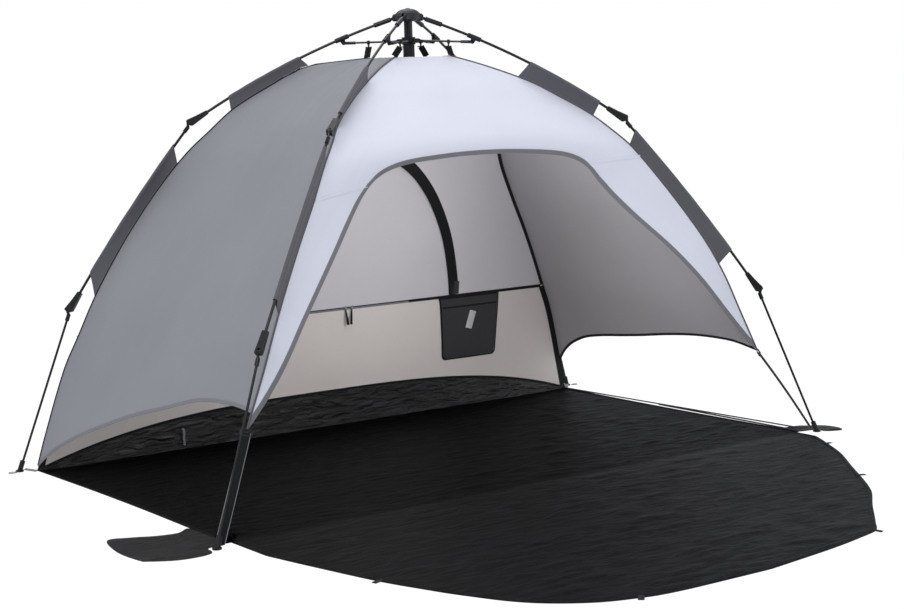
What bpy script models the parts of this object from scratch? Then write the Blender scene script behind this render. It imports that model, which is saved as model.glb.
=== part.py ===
"""An automatic beach tent: an umbrella frame of four folding legs with a canopy hung under it.

Metres, +Z up. The origin is on the ground under the hub, the door faces -Y and +X is to the right
of someone inside who looks out at the back wall.
"""

import math

import bmesh
import bpy
from mathutils import Matrix, Vector

# Overall frame: where the feet stand and how high the hub pins are.
HUB_HEIGHT = 1.300
FOOT_HALF_WIDTH = 1.047
FRONT_REACH = 0.631
BACK_REACH = 0.583

# Pin places of each leg, as shares of the foot's half width, its reach and the hub's height.
FRONT_ELBOW_SHARES = (0.4961, 0.5903, 0.7598)
FRONT_KNEE_SHARES = (0.8353, 0.9011, 0.3525)
BACK_ELBOW_SHARES = (0.5390, 0.5751, 0.7812)
BACK_KNEE_SHARES = (0.8507, 0.9129, 0.3649)
# The front elbow pins lean this much (radians), so that the folded poles lie beside the arm.
FRONT_ELBOW_LEAN = 0.030
# How far along a pole its direction is read at its start, and the step in radius at a socket.
START_SHARE = 0.03
STEP_SHARE = 0.01
STEP_LENGTH = 0.00001

# Poles. The canopy bends the arms and the middle poles, and the bow is that bend at mid length.
POLE_RADIUS = 0.004
LOWER_POLE_RADIUS = 0.0035
SOCKET_RADIUS = 0.006
SOCKET_LENGTH = 0.020
ARM_BOW = 0.024
MIDDLE_BOW = 0.010
POLE_SIDES = 8
ARM_RINGS = 15
MIDDLE_RINGS = 12

# Hinge pins and the clearances round them.
PIN_RADIUS = 0.002
PIN_HOLE_GAP = 0.0003
PIN_HEAD_RADIUS = 0.0034
PIN_HEAD_HEIGHT = 0.0008
PIN_OFFSET = 0.010
RUN_GAP = 0.0004
SEAT_GAP = 0.0003
BORE_GAP = 0.0007
EYE_RADIUS = 0.005
TONGUE_THICKNESS = 0.005
TONGUE_REACH = 0.014
TONGUE_LAP = 0.006

# Knuckle housing, the teardrop moulding at each elbow and knee.
KNUCKLE_LENGTH = 0.062
KNUCKLE_HALF_WIDTH = 0.008
KNUCKLE_NECK = 0.0062
KNUCKLE_BOSS = 0.0055
KNUCKLE_BELLY = 0.0085
KNUCKLE_SLOT_DEPTH = 0.010
KNUCKLE_RIB_DEPTH = 0.0007
KNUCKLE_RIB_WIDTH = 0.0022
KNUCKLE_RIBS = 3

# Hub: a domed cap with four slotted lobes, each with the pin of one arm.
HUB_PIN_REACH = 0.032
HUB_RADIUS = 0.043
HUB_DOME_RISE = 0.024
HUB_SKIRT_DROP = 0.012
HUB_CAP_DROP = 0.008
HUB_LOBE_REACH = 0.046
HUB_LOBE_HALF_WIDTH = 0.0100
HUB_LOBE_RISE = 0.009
HUB_SLOT_ROOT = 0.021
HUB_SLOT_RISE = 0.011
HUB_BUTTON_RADIUS = 0.0065
HUB_BUTTON_HEIGHT = 0.0015
ARM_EYE_THICKNESS = 0.006
ARM_SOCKET_RADIUS = 0.007
ARM_SOCKET_START = 0.020
ARM_SOCKET_LENGTH = 0.052

# Centre post, and the runner that slides on it.
POST_RADIUS = 0.0125
POST_LENGTH = 0.380
POST_SIDES = 20
RUNNER_DROP = 0.070
RUNNER_COLLAR_RADIUS = 0.0205
RUNNER_COLLAR_HALF = 0.011
RUNNER_SLEEVE_RADIUS = 0.017
RUNNER_SLEEVE_LENGTH = 0.100
RUNNER_PIN_REACH = 0.030
RUNNER_EAR_INNER = 0.006
RUNNER_EAR_HALF_WIDTH = 0.0072
RUNNER_EAR_HALF_HEIGHT = 0.0065
RUNNER_SLOT_ROOT = 0.0058

# Struts, from the runner to a bracket on each arm. They lie beside the arm's own plane.
STRUT_OFFSET = 0.0145
STRUT_RADIUS = 0.003
STRUT_EYE_THICKNESS = 0.006
STRUT_SOCKET_RADIUS = 0.0046
STRUT_SOCKET_LENGTH = 0.030
STRUT_OUTER_EYE_THICKNESS = 0.009
STRUT_EYE_LAP = 0.009
BRACKET_REACH = 0.174
BRACKET_HALF_LENGTH = 0.021
BRACKET_RADIUS = 0.007
BRACKET_EYE_DROP = 0.014
BRACKET_EAR_RADIUS = 0.006
BRACKET_EAR_INNER = 0.0030
BRACKET_EAR_GAP = 0.0008

# Hanging clips: a snap clip round each strut, a ring and a webbing loop down to the canopy.
CLIP_REACH = 0.118
CLIP_RADIUS = 0.0062
CLIP_HALF_WIDTH = 0.004
CLIP_STEM_HALF = 0.0024
CLIP_STEM_DROP = 0.013
CLIP_RING_HALF_WIDTH = 0.011
CLIP_RING_WIRE = 0.0016
WEBBING_HALF_WIDTH = 0.010
WEBBING_THICKNESS = 0.0016
WEBBING_GAP = 0.0036

# Feet.
FOOT_BASE_RADIUS = 0.012
FOOT_BASE_HEIGHT = 0.005
FOOT_CUP_RADIUS = 0.0075
FOOT_CUP_LENGTH = 0.034
FOOT_FLOOR = 0.007

# Fabric. The seams lie this far inside the poles, as shares of the same driving sizes.
SHEET = 0.0012
SEAM_GAP = 0.0021
CROWN_REACH = 0.125
CROWN_HEIGHT_SHARE = 0.90923
CROWN_HEIGHT = HUB_HEIGHT * CROWN_HEIGHT_SHARE
CROWN_RING_RADIUS = 0.027
CROWN_RING_DROP = 0.010
CROWN_RING_HEIGHT = CROWN_HEIGHT - CROWN_RING_DROP
SIDE_SAG = 0.012
BACK_SAG = 0.008
# Rows of height, width and reach, each a share of the hub's height or of the foot's place.
FRONT_SEAM_SHARES = (
    (0.8846, 0.1796, 0.1990),
    (0.8462, 0.2818, 0.3122),
    (0.8077, 0.3577, 0.3883),
    (0.7692, 0.4236, 0.4667),
    (0.7308, 0.4700, 0.5341),
    (0.6923, 0.5131, 0.5880),
    (0.6154, 0.5789, 0.6593),
    (0.5385, 0.6429, 0.7151),
    (0.4615, 0.7016, 0.7640),
    (0.3846, 0.7512, 0.7973),
    (0.3077, 0.7931, 0.8180),
    (0.1923, 0.8580, 0.8431),
    (0.0000, 0.9550, 0.8950),
)
BACK_SEAM_SHARES = (
    (0.8990, 0.2300, 0.2360),
    (0.8784, 0.2905, 0.3074),
    (0.8538, 0.3399, 0.3597),
    (0.8285, 0.3892, 0.4119),
    (0.8008, 0.4361, 0.4616),
    (0.7577, 0.4888, 0.5173),
    (0.7092, 0.5464, 0.5783),
    (0.6323, 0.6103, 0.6755),
    (0.5385, 0.6846, 0.7467),
    (0.4615, 0.7413, 0.7851),
    (0.3846, 0.7918, 0.8196),
    (0.3077, 0.8351, 0.8461),
    (0.2308, 0.8785, 0.8727),
    (0.0769, 0.9378, 0.9194),
    (0.0000, 0.9640, 0.9391),
)

# Door arch: height as a share of the hub's height against the share of the seam's width there.
ARCH_COLUMN_SHARES = (
    (0.0000, 0.6938),
    (0.1500, 0.6927),
    (0.3000, 0.6892),
    (0.4400, 0.6845),
    (0.5450, 0.6769),
    (0.6300, 0.6615),
    (0.6770, 0.6385),
    (0.6930, 0.6154),
    (0.7230, 0.5769),
    (0.7530, 0.5385),
    (0.7890, 0.5000),
    (0.8230, 0.4615),
    (0.8800, 0.3846),
    (0.9240, 0.3077),
    (0.9650, 0.2423),
    (1.0000, 0.2000),
)
# How far the door's edge lies behind the line between the two seams: height share, share of reach.
ARCH_RECESS_SHARES = (
    (0.9077, 0.0000),
    (0.8462, -0.0160),
    (0.7692, -0.0240),
    (0.6923, -0.0160),
    (0.6615, 0.1000),
    (0.6385, 0.1580),
    (0.6154, 0.1900),
    (0.5769, 0.2050),
    (0.5385, 0.2050),
    (0.4615, 0.1580),
    (0.3846, 0.1100),
    (0.3077, 0.0300),
    (0.2308, 0.0000),
    (0.0000, 0.0000),
)
# Side hem: place along the panel from the front seam to the back one, and height share.
SIDE_HEM_SHARES = (
    (0.0000, 0.2000),
    (0.1000, 0.2170),
    (0.2500, 0.2190),
    (0.4000, 0.2070),
    (0.5500, 0.1820),
    (0.7000, 0.1520),
    (0.8200, 0.1180),
    (0.9000, 0.0820),
    (0.9600, 0.0440),
    (1.0000, 0.0120),
)
BACK_SEAM_HEIGHT = 0.390
SILL_HEIGHT = 0.118
SILL_POWER = 3
BACK_CORNER_SHARE = 0.975
SILL_LEAST = 0.006
SILL_LAP = 0.0006

PANEL_ROWS = 11
LOWER_ROWS = 4
CROWN_ROWS = 2
SIDE_COLUMNS = 10
BACK_COLUMNS = 12
ROW_POWER = 1.5

# Ground sheet with its two sand flaps, and the door flap laid out in front of it.
FLOOR_INSET = 0.043
FLOOR_HALF_WIDTH = FOOT_HALF_WIDTH - FLOOR_INSET
SILL_SETBACK = 0.0325
SILL_LINE = FRONT_REACH - SILL_SETBACK
FLAP_REACH = 1.050
FLAP_HINGE_GAP = 0.0008
# Outlines: x as a share of the floor's half width, y as a share of the front foot's reach.
LEFT_SAND_FLAP_SHARES = (
    (-1.012, -0.640),
    (-1.096, -0.650),
    (-1.150, -0.605),
    (-1.209, -0.583),
    (-1.240, -0.780),
    (-1.235, -0.951),
    (-1.221, -0.989),
    (-1.166, -1.046),
    (-1.106, -1.078),
    (-1.085, -1.040),
    (-1.075, -0.960),
    (-1.020, -0.930),
)
RIGHT_SAND_FLAP_SHARES = (
    (1.020, -0.930),
    (1.075, -0.965),
    (1.085, -1.050),
    (1.120, -1.075),
    (1.135, -1.010),
    (1.130, -0.930),
    (1.100, -0.880),
    (1.012, -0.840),
)
# Door flap: x as a share of the floor's half width, y as a share of the flap's reach.
DOOR_FLAP_SHARES = (
    (-1.012, 0.000),
    (-0.985, 0.160),
    (-0.950, 0.330),
    (-0.907, 0.515),
    (-0.872, 0.620),
    (-0.832, 0.722),
    (-0.762, 0.850),
    (-0.664, 0.935),
    (-0.565, 0.975),
    (-0.440, 0.995),
    (-0.193, 1.000),
    (0.043, 0.970),
    (0.175, 0.945),
    (0.235, 0.930),
    (0.290, 0.885),
    (0.425, 0.762),
    (0.558, 0.644),
    (0.752, 0.410),
    (0.850, 0.290),
    (0.932, 0.165),
    (0.985, 0.075),
    (1.012, 0.000),
)

# Pole sleeves: where each begins and ends on its pole, and the seam heights that it is sewn to.
ARM_SLEEVE_FRONT_SHARES = (0.520, 0.868, 0.8577, 0.7640)
ARM_SLEEVE_BACK_SHARES = (0.452, 0.800, 0.8962, 0.8010)
MIDDLE_SLEEVE_FRONT_SHARES = (0.075, 0.775, 0.6962, 0.4115)
MIDDLE_SLEEVE_BACK_SHARES = (0.130, 0.810, 0.6850, 0.3900)
SLEEVE_RADIUS = 0.0060
SLEEVE_HALF_FIN = 0.0012
SLEEVE_STATIONS = 8
SLEEVE_SEAM_GAP = 0.0015

# Straps from the canopy's front corners to the feet, and from the floor's back corners.
STRAP_HALF_WIDTH = 0.0125
BUCKLE_HALF_WIDTH = 0.016
BUCKLE_HALF_HEIGHT = 0.008
BUCKLE_HALF_THICKNESS = 0.0024
STRAP_TOP_GAP = 0.0078
STRAP_FOOT_SHARE = 0.90
STRAP_END_HEIGHT = 0.012
STRAP_TURN_SHARES = (0.81, -0.586)
BACK_STRAP_LIFT = 0.010
BACK_STRAP_GAP = 0.004
BACK_STRAP_START = -0.0014

# Flat mesh pocket on the inside of the back wall, as shares of the floor's width and its seam.
POCKET_LEFT_SHARE = 0.446
POCKET_RIGHT_SHARE = 0.682
POCKET_BOTTOM_SHARE = 0.425
POCKET_TOP_SHARE = 0.985
POCKET_STANDOFF = 0.0005

OVERRUN = 0.002
ROUND_SIDES = 12
ARC_STEPS = 7

PLASTIC = ("moulded_black_nylon", (0.030, 0.031, 0.035), 0.45, 0.0)
STEEL = ("black_coated_tube", (0.016, 0.017, 0.019), 0.35, 0.3)
WHITE_CLOTH = ("white_coated_polyester", (0.73, 0.74, 0.82), 0.75, 0.0)
GREY_CLOTH = ("grey_coated_polyester", (0.27, 0.275, 0.30), 0.78, 0.0)
SLEEVE_CLOTH = ("dark_grey_polyester", (0.085, 0.080, 0.086), 0.80, 0.0)
BEIGE_CLOTH = ("beige_polyester", (0.47, 0.43, 0.41), 0.80, 0.0)
FLOOR_SHEET = ("black_woven_polyethylene", (0.013, 0.013, 0.014), 0.40, 0.0)
MESH_CLOTH = ("black_mesh", (0.042, 0.038, 0.040), 0.85, 0.0)
WEBBING = ("black_webbing", (0.016, 0.016, 0.018), 0.80, 0.0)

UP = Vector((0.0, 0.0, 1.0))


def clear_scene():
    for thing in list(bpy.data.objects):
        bpy.data.objects.remove(thing, do_unlink=True)


def material(finish):
    name, colour, roughness, metallic = finish
    found = bpy.data.materials.get(name)
    if found:
        return found
    made = bpy.data.materials.new(name)
    made.use_nodes = True
    shader = made.node_tree.nodes["Principled BSDF"]
    shader.inputs["Base Color"].default_value = (*colour, 1.0)
    shader.inputs["Roughness"].default_value = roughness
    shader.inputs["Metallic"].default_value = metallic
    return made


def mesh_object(name, points, faces):
    mesh = bpy.data.meshes.new(name)
    mesh.from_pydata([tuple(p) for p in points], [], faces)
    mesh.update()
    made = bpy.data.objects.new(name, mesh)
    bpy.context.scene.collection.objects.link(made)
    return made


def combined(base, tools, operation):
    """The base with every tool joined to it or cut from it, as one plain mesh."""
    for tool in tools:
        change = base.modifiers.new(tool.name, "BOOLEAN")
        change.object = tool
        change.operation = operation
        change.solver = "EXACT"
    bpy.context.view_layer.update()
    graph = bpy.context.evaluated_depsgraph_get()
    mesh = bpy.data.meshes.new_from_object(base.evaluated_get(graph))
    base.modifiers.clear()
    base.data = mesh
    for tool in tools:
        bpy.data.objects.remove(tool, do_unlink=True)
    return base


def body(name, pivot, parent=None):
    """An empty on a joint's axis, which carries the pieces that turn or slide there."""
    made = bpy.data.objects.new(name, None)
    bpy.context.scene.collection.objects.link(made)
    made.location = Vector(pivot)
    made["pivot"] = tuple(pivot)
    if parent:
        made.parent = parent
        made.location = Vector(pivot) - Vector(parent["pivot"])
    return made


def place(piece, carrier, finish, smooth=True):
    """Puts a piece on its body with its origin at the body's pivot, and gives it its material."""
    piece.data.transform(Matrix.Translation(-Vector(carrier["pivot"])))
    piece.parent = carrier
    piece.data.materials.clear()
    piece.data.materials.append(material(finish))
    if smooth:
        piece.data.shade_smooth()
        piece.data.set_sharp_from_angle(angle=math.radians(35))
    return piece


def frame_along(direction, normal):
    """Unit axes: along the direction, across it on the normal's side, and the third."""
    along = Vector(direction).normalized()
    across = Vector(normal) - along * along.dot(Vector(normal))
    across.normalize()
    return along, across, along.cross(across)


def swept(name, centres, normals, outlines, skew=False):
    """A solid through closed outlines of (across, third) offsets, one outline at each centre.

    A skewed one keeps each outline's first axis on its normal, even where that isn't square to
    the way along.
    """
    points, faces = [], []
    sides = len(outlines[0])
    count = len(centres)
    for i, centre in enumerate(centres):
        ahead = centres[min(i + 1, count - 1)] - centres[max(i - 1, 0)]
        along, across, third = frame_along(ahead, normals[i])
        if skew:
            across = normals[i].normalized()
        points += [centre + across * a + third * b for a, b in outlines[i]]
    for i in range(count - 1):
        for j in range(sides):
            k = (j + 1) % sides
            low, high = i * sides, (i + 1) * sides
            faces.append((low + j, low + k, high + k, high + j))
    faces.append(tuple(reversed(range(sides))))
    faces.append(tuple(range((count - 1) * sides, count * sides)))
    return mesh_object(name, points, faces)


def circle(radius, sides):
    turns = [2 * math.pi * j / sides for j in range(sides)]
    return [(radius * math.cos(a), radius * math.sin(a)) for a in turns]


def rod(name, start, end, radius, sides=ROUND_SIDES):
    """A plain cylinder between two points."""
    start, end = Vector(start), Vector(end)
    side = UP if abs((end - start).normalized().dot(UP)) < 0.9 else Vector((1.0, 0.0, 0.0))
    ring = circle(radius, sides)
    return swept(name, [start, end], [side, side], [ring, ring])


def plate(name, outline, origin, axes, low, high):
    """An outline of (first, second) offsets, extruded along the third axis from low to high."""
    first, second, third = axes
    flat = [origin + first * a + second * b for a, b in outline]
    count = len(flat)
    points = [p + third * low for p in flat] + [p + third * high for p in flat]
    faces = [tuple(reversed(range(count))), tuple(range(count, 2 * count))]
    for j in range(count):
        k = (j + 1) % count
        faces.append((j, k, count + k, count + j))
    made = mesh_object(name, points, faces)
    outward(made)
    return made


def outward(piece):
    shape = bmesh.new()
    shape.from_mesh(piece.data)
    bmesh.ops.recalc_face_normals(shape, faces=shape.faces)
    shape.to_mesh(piece.data)
    shape.free()


def arc(centre, radius, start, end, steps=ARC_STEPS):
    """Points on an arc, with the angles in degrees."""
    turns = [math.radians(start + (end - start) * j / (steps - 1)) for j in range(steps)]
    return [(centre[0] + radius * math.cos(a), centre[1] + radius * math.sin(a)) for a in turns]


def box_outline(low, high):
    return [(low[0], low[1]), (high[0], low[1]), (high[0], high[1]), (low[0], high[1])]


def turned(name, profile, centre, sides):
    """A solid turned about +Z from a closed (radius, height) profile that starts and ends on the axis."""
    points, faces = [], []
    inner = profile[1:-1]
    for radius, height in inner:
        points += [Vector((radius * math.cos(a), radius * math.sin(a), height)) + centre
                   for a in (2 * math.pi * j / sides for j in range(sides))]
    top, bottom = len(points), len(points) + 1
    points += [centre + UP * profile[0][1], centre + UP * profile[-1][1]]
    for j in range(sides):
        k = (j + 1) % sides
        faces.append((top, j, k))
        for i in range(len(inner) - 1):
            faces.append((i * sides + j, (i + 1) * sides + j, (i + 1) * sides + k, i * sides + k))
        last = (len(inner) - 1) * sides
        faces.append((bottom, last + k, last + j))
    made = mesh_object(name, points, faces)
    outward(made)
    return made


def between(table, at):
    """Values read from rows of (key, value, ...) by a smooth curve through them."""
    rows = sorted(table)
    at = min(max(at, rows[0][0]), rows[-1][0])
    i = 0
    while i < len(rows) - 2 and rows[i + 1][0] < at:
        i += 1
    a, b = rows[i], rows[i + 1]
    before, after = rows[max(i - 1, 0)], rows[min(i + 2, len(rows) - 1)]
    span = b[0] - a[0]
    t = (at - a[0]) / span
    found = []
    for c in range(1, len(a)):
        leave = (b[c] - before[c]) / (b[0] - before[0]) * span
        arrive = (after[c] - a[c]) / (after[0] - a[0]) * span
        found.append(
            (2 * t**3 - 3 * t**2 + 1) * a[c]
            + (t**3 - 2 * t**2 + t) * leave
            + (3 * t**2 - 2 * t**3) * b[c]
            + (t**3 - t**2) * arrive
        )
    return found


class Leg:
    """The pin places, pole curves and hinge axes of one leg."""

    def __init__(self, side, end):
        self.name = f"{end}_{side}"
        self.sign = -1 if side == "left" else 1
        front = end == "front"
        self.front = front
        self.reach = -FRONT_REACH if front else BACK_REACH
        self.foot = self.at((1, 1, 0))
        self.elbow = self.at(FRONT_ELBOW_SHARES if front else BACK_ELBOW_SHARES)
        self.knee = self.at(FRONT_KNEE_SHARES if front else BACK_KNEE_SHARES)
        self.out = Vector((self.elbow.x, self.elbow.y, 0.0)).normalized()
        self.hub_axis = self.out.cross(UP)
        self.hub_pin = self.out * HUB_PIN_REACH + UP * HUB_HEIGHT
        # The struts all lie on the side of their arm that is nearer the front or back.
        self.beside = self.hub_axis if self.hub_axis.y * self.reach > 0 else -self.hub_axis
        self.elbow_axis = (self.elbow - self.hub_pin).cross(self.knee - self.elbow).normalized()
        self.knee_axis = (self.knee - self.elbow).cross(self.foot - self.knee).normalized()
        self.arm_out = self.outer(self.elbow - self.hub_pin, self.elbow_axis)
        self.mid_out = self.outer(self.knee - self.elbow, self.elbow_axis)
        self.mid_end_out = self.outer(self.knee - self.elbow, self.knee_axis)
        self.low_out = self.outer(self.foot - self.knee, self.knee_axis)
        if front:
            middle = (self.knee - self.elbow).normalized()
            self.elbow_axis += middle * (FRONT_ELBOW_LEAN * self.sign)
            self.elbow_axis.normalize()

    def at(self, shares):
        wide, deep, high = shares
        return Vector((self.sign * FOOT_HALF_WIDTH * wide, self.reach * deep, HUB_HEIGHT * high))

    def outer(self, along, axis):
        """The unit normal to a pole, in its hinge's plane, that points away from the tent."""
        found = axis.cross(along).normalized()
        return found if found.dot(self.out + UP) > 0 else -found

    def arm_point(self, t):
        start, end = self.hub_pin, self.elbow - self.arm_out * PIN_OFFSET
        return start.lerp(end, t) + self.arm_out * (4 * ARM_BOW * t * (1 - t))

    def mid_point(self, t):
        start = self.elbow - self.mid_out * PIN_OFFSET
        end = self.knee - self.mid_end_out * PIN_OFFSET
        return start.lerp(end, t) + self.mid_out * (4 * MIDDLE_BOW * t * (1 - t))

    def low_point(self, t):
        return (self.knee - self.low_out * PIN_OFFSET).lerp(self.foot, t)

    def arm_length(self):
        return (self.elbow - self.hub_pin).length

    def mid_length(self):
        return (self.knee - self.elbow).length

    def low_length(self):
        return (self.foot - self.knee).length

    def runner_pin(self):
        place_out = self.out * RUNNER_PIN_REACH + self.beside * STRUT_OFFSET
        return place_out + UP * (HUB_HEIGHT - RUNNER_DROP)

    def bracket_axes(self):
        t = BRACKET_REACH / self.arm_length()
        step = BRACKET_HALF_LENGTH / self.arm_length()
        along = (self.arm_point(t + step) - self.arm_point(t - step)).normalized()
        across = self.hub_axis.cross(along).normalized()
        across = across if across.z > 0 else -across
        return self.arm_point(t), along, across

    def strut_eye(self):
        centre, _, across = self.bracket_axes()
        return centre - across * BRACKET_EYE_DROP + self.beside * STRUT_OFFSET


def crown_corner(leg):
    return leg.out * CROWN_REACH + UP * CROWN_HEIGHT


def crown_point(leg, share):
    """A point on the roof, from the ring round the post (0) to the leg's crown corner (1)."""
    ring = leg.out * CROWN_RING_RADIUS + UP * CROWN_RING_HEIGHT
    return ring.lerp(crown_corner(leg), share)


def seam_point(leg, height):
    """The point at a height on the leg's canopy seam."""
    corner = crown_corner(leg)
    share = height / HUB_HEIGHT
    table = FRONT_SEAM_SHARES if leg.front else BACK_SEAM_SHARES
    width = abs(corner.x) / FOOT_HALF_WIDTH
    deep = abs(corner.y / leg.reach)
    wide, far = between(((CROWN_HEIGHT / HUB_HEIGHT, width, deep), *table), share)
    return leg.at((wide, far, share))


def row_depth(row):
    """How far down a panel a row lies: 0 over the crown, 1 at the hem."""
    return max(0.0, (row - CROWN_ROWS) / PANEL_ROWS)


def row_height(row, bottom):
    return CROWN_HEIGHT - (CROWN_HEIGHT - bottom) * row_depth(row) ** ROW_POWER


def row_point(leg, row, bottom):
    """The leg's end of a panel's row: crown rows first, then rows down the seam to the bottom."""
    if row < CROWN_ROWS:
        return crown_point(leg, row / CROWN_ROWS)
    return seam_point(leg, row_height(row, bottom))


def sheet(name, grid, away):
    """A closed sheet, SHEET thick, under a grid of points; away points out of the tent there."""
    rows, columns = len(grid), len(grid[0])
    outer, inner = [], []
    for i in range(rows):
        for j in range(columns):
            down = grid[min(i + 1, rows - 1)][j] - grid[max(i - 1, 0)][j]
            along = grid[i][min(j + 1, columns - 1)] - grid[i][max(j - 1, 0)]
            normal = down.cross(along).normalized()
            normal = normal if normal.dot(away(grid[i][j])) > 0 else -normal
            outer.append(grid[i][j])
            inner.append(grid[i][j] - normal * SHEET)
    count = rows * columns
    faces = []
    for i in range(rows - 1):
        for j in range(columns - 1):
            a, b = i * columns + j, i * columns + j + 1
            c, d = (i + 1) * columns + j + 1, (i + 1) * columns + j
            halves = ((a, b, c), (a, c, d)) if 2 * j < columns - 1 else ((a, b, d), (b, c, d))
            faces += halves
            faces += [tuple(count + k for k in reversed(half)) for half in halves]
    rim = [j for j in range(columns)]
    rim += [i * columns + columns - 1 for i in range(1, rows)]
    rim += [(rows - 1) * columns + j for j in range(columns - 2, -1, -1)]
    rim += [i * columns for i in range(rows - 2, 0, -1)]
    for j, a in enumerate(rim):
        b = rim[(j + 1) % len(rim)]
        faces.append((b, a, count + a, count + b))
    made = mesh_object(name, outer + inner, faces)
    outward(made)
    return made


def edge_share(a, b):
    return SEAM_GAP / max((b - a).length, SEAM_GAP * 4)


def across(a, b, u, sag=Vector()):
    """A point between two seam points, held SEAM_GAP in from each and sagging inwards."""
    inset = edge_share(a, b)
    point = a.lerp(b, inset + (1 - 2 * inset) * u)
    return point - sag * (4 * u * (1 - u))


def crown_line(first, second, row, u):
    """A point of a roof row between two legs, rounded towards the ring round the post."""
    point = across(row_point(first, row, 0.0), row_point(second, row, 0.0), u)
    flat = Vector((point.x, point.y, 0.0))
    share = row / CROWN_ROWS
    radius = CROWN_RING_RADIUS + (CROWN_REACH - CROWN_RING_RADIUS) * share
    round_point = flat.normalized() * radius + UP * point.z
    return round_point.lerp(point, share)


def side_panel(side, legs, root):
    """The left or right panel, from the crown to its arched hem."""
    front, back = legs[f"front_{side}"], legs[f"back_{side}"]
    out = Vector((front.sign, 0.0, 0.0))
    grid = [[] for _ in range(CROWN_ROWS + PANEL_ROWS + 1)]
    for j in range(SIDE_COLUMNS + 1):
        u = j / SIDE_COLUMNS
        hem = between(SIDE_HEM_SHARES, u)[0] * HUB_HEIGHT
        for i, line in enumerate(grid):
            if i < CROWN_ROWS:
                line.append(crown_line(front, back, i, u))
                continue
            sag = out * (SIDE_SAG * math.sin(math.pi * row_depth(i)))
            line.append(across(row_point(front, i, hem), row_point(back, i, hem), u, sag))
    place(sheet(f"canopy_{side}", grid, lambda p: out + UP), root, GREY_CLOTH)


def front_panel(legs, root):
    """The white front panel, cut away by the door arch."""
    left, right = legs["front_left"], legs["front_right"]
    columns = [(-u, h) for u, h in reversed(ARCH_COLUMN_SHARES[1:])] + list(ARCH_COLUMN_SHARES)
    grid = [[] for _ in range(CROWN_ROWS + PANEL_ROWS + 1)]
    for u, height in columns:
        bottom = height * HUB_HEIGHT
        for i, line in enumerate(grid):
            if i < CROWN_ROWS:
                line.append(crown_line(left, right, i, (u + 1) / 2))
                continue
            share = row_height(i, bottom) / HUB_HEIGHT
            recess = between(ARCH_RECESS_SHARES, share)[0]
            a, b = row_point(left, i, bottom), row_point(right, i, bottom)
            back = Vector((0.0, recess * FRONT_REACH * (1 - u * u), 0.0))
            line.append(across(a, b, (u + 1) / 2) + back)
    out = Vector((0.0, -1.0, 0.0))
    place(sheet("canopy_front", grid, lambda p: out + UP), root, WHITE_CLOTH)


def sill_height(x):
    width = FOOT_HALF_WIDTH * BACK_CORNER_SHARE
    return max(SILL_HEIGHT * (1 - abs(x / width) ** SILL_POWER), SILL_LEAST)


def back_point(legs, height, u, inset=0.0):
    """A point of the back wall at a height, u from the left seam to the right one."""
    left, right = legs["back_left"], legs["back_right"]
    sag = Vector((0.0, BACK_SAG * math.sin(math.pi * height / CROWN_HEIGHT), 0.0))
    ends = seam_point(left, height), seam_point(right, height)
    return across(*ends, u, sag) - Vector((0.0, inset, 0.0))


def back_panels(legs, root):
    """The grey upper back wall and the beige panel sewn under it."""
    out = Vector((0.0, 1.0, 0.0))
    left, right = legs["back_left"], legs["back_right"]
    grid = []
    for i in range(CROWN_ROWS + PANEL_ROWS + 1):
        line = []
        for j in range(BACK_COLUMNS + 1):
            u = j / BACK_COLUMNS
            if i < CROWN_ROWS:
                line.append(crown_line(left, right, i, u))
            else:
                line.append(back_point(legs, row_height(i, BACK_SEAM_HEIGHT), u))
        grid.append(line)
    place(sheet("canopy_back", grid, lambda p: out + UP), root, GREY_CLOTH)
    lower = []
    for i in range(LOWER_ROWS + 1):
        line = []
        for j in range(BACK_COLUMNS + 1):
            u = j / BACK_COLUMNS
            low = sill_height(back_point(legs, 0.0, u).x) + SEAT_GAP
            high = BACK_SEAM_HEIGHT - SEAT_GAP
            height = high + (low - high) * i / LOWER_ROWS
            line.append(back_point(legs, height, u))
        lower.append(line)
    place(sheet("back_wall_lower", lower, lambda p: out), root, BEIGE_CLOTH)


def pocket(legs, root):
    """A flat pocket sewn to the inside of the beige panel."""
    out = Vector((0.0, 1.0, 0.0))
    grid = []
    for i in range(LOWER_ROWS + 1):
        share = POCKET_TOP_SHARE + (POCKET_BOTTOM_SHARE - POCKET_TOP_SHARE) * i / LOWER_ROWS
        height = BACK_SEAM_HEIGHT * share
        a, b = back_point(legs, height, 0), back_point(legs, height, 1)
        line = []
        for x in (POCKET_LEFT_SHARE, POCKET_RIGHT_SHARE):
            u = (x * FLOOR_HALF_WIDTH - a.x) / (b.x - a.x)
            line.append(back_point(legs, height, u, SHEET + POCKET_STANDOFF))
        grid.append([line[0], line[0].lerp(line[1], 0.5), line[1]])
    place(sheet("pocket", grid, lambda p: out), root, MESH_CLOTH)


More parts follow.
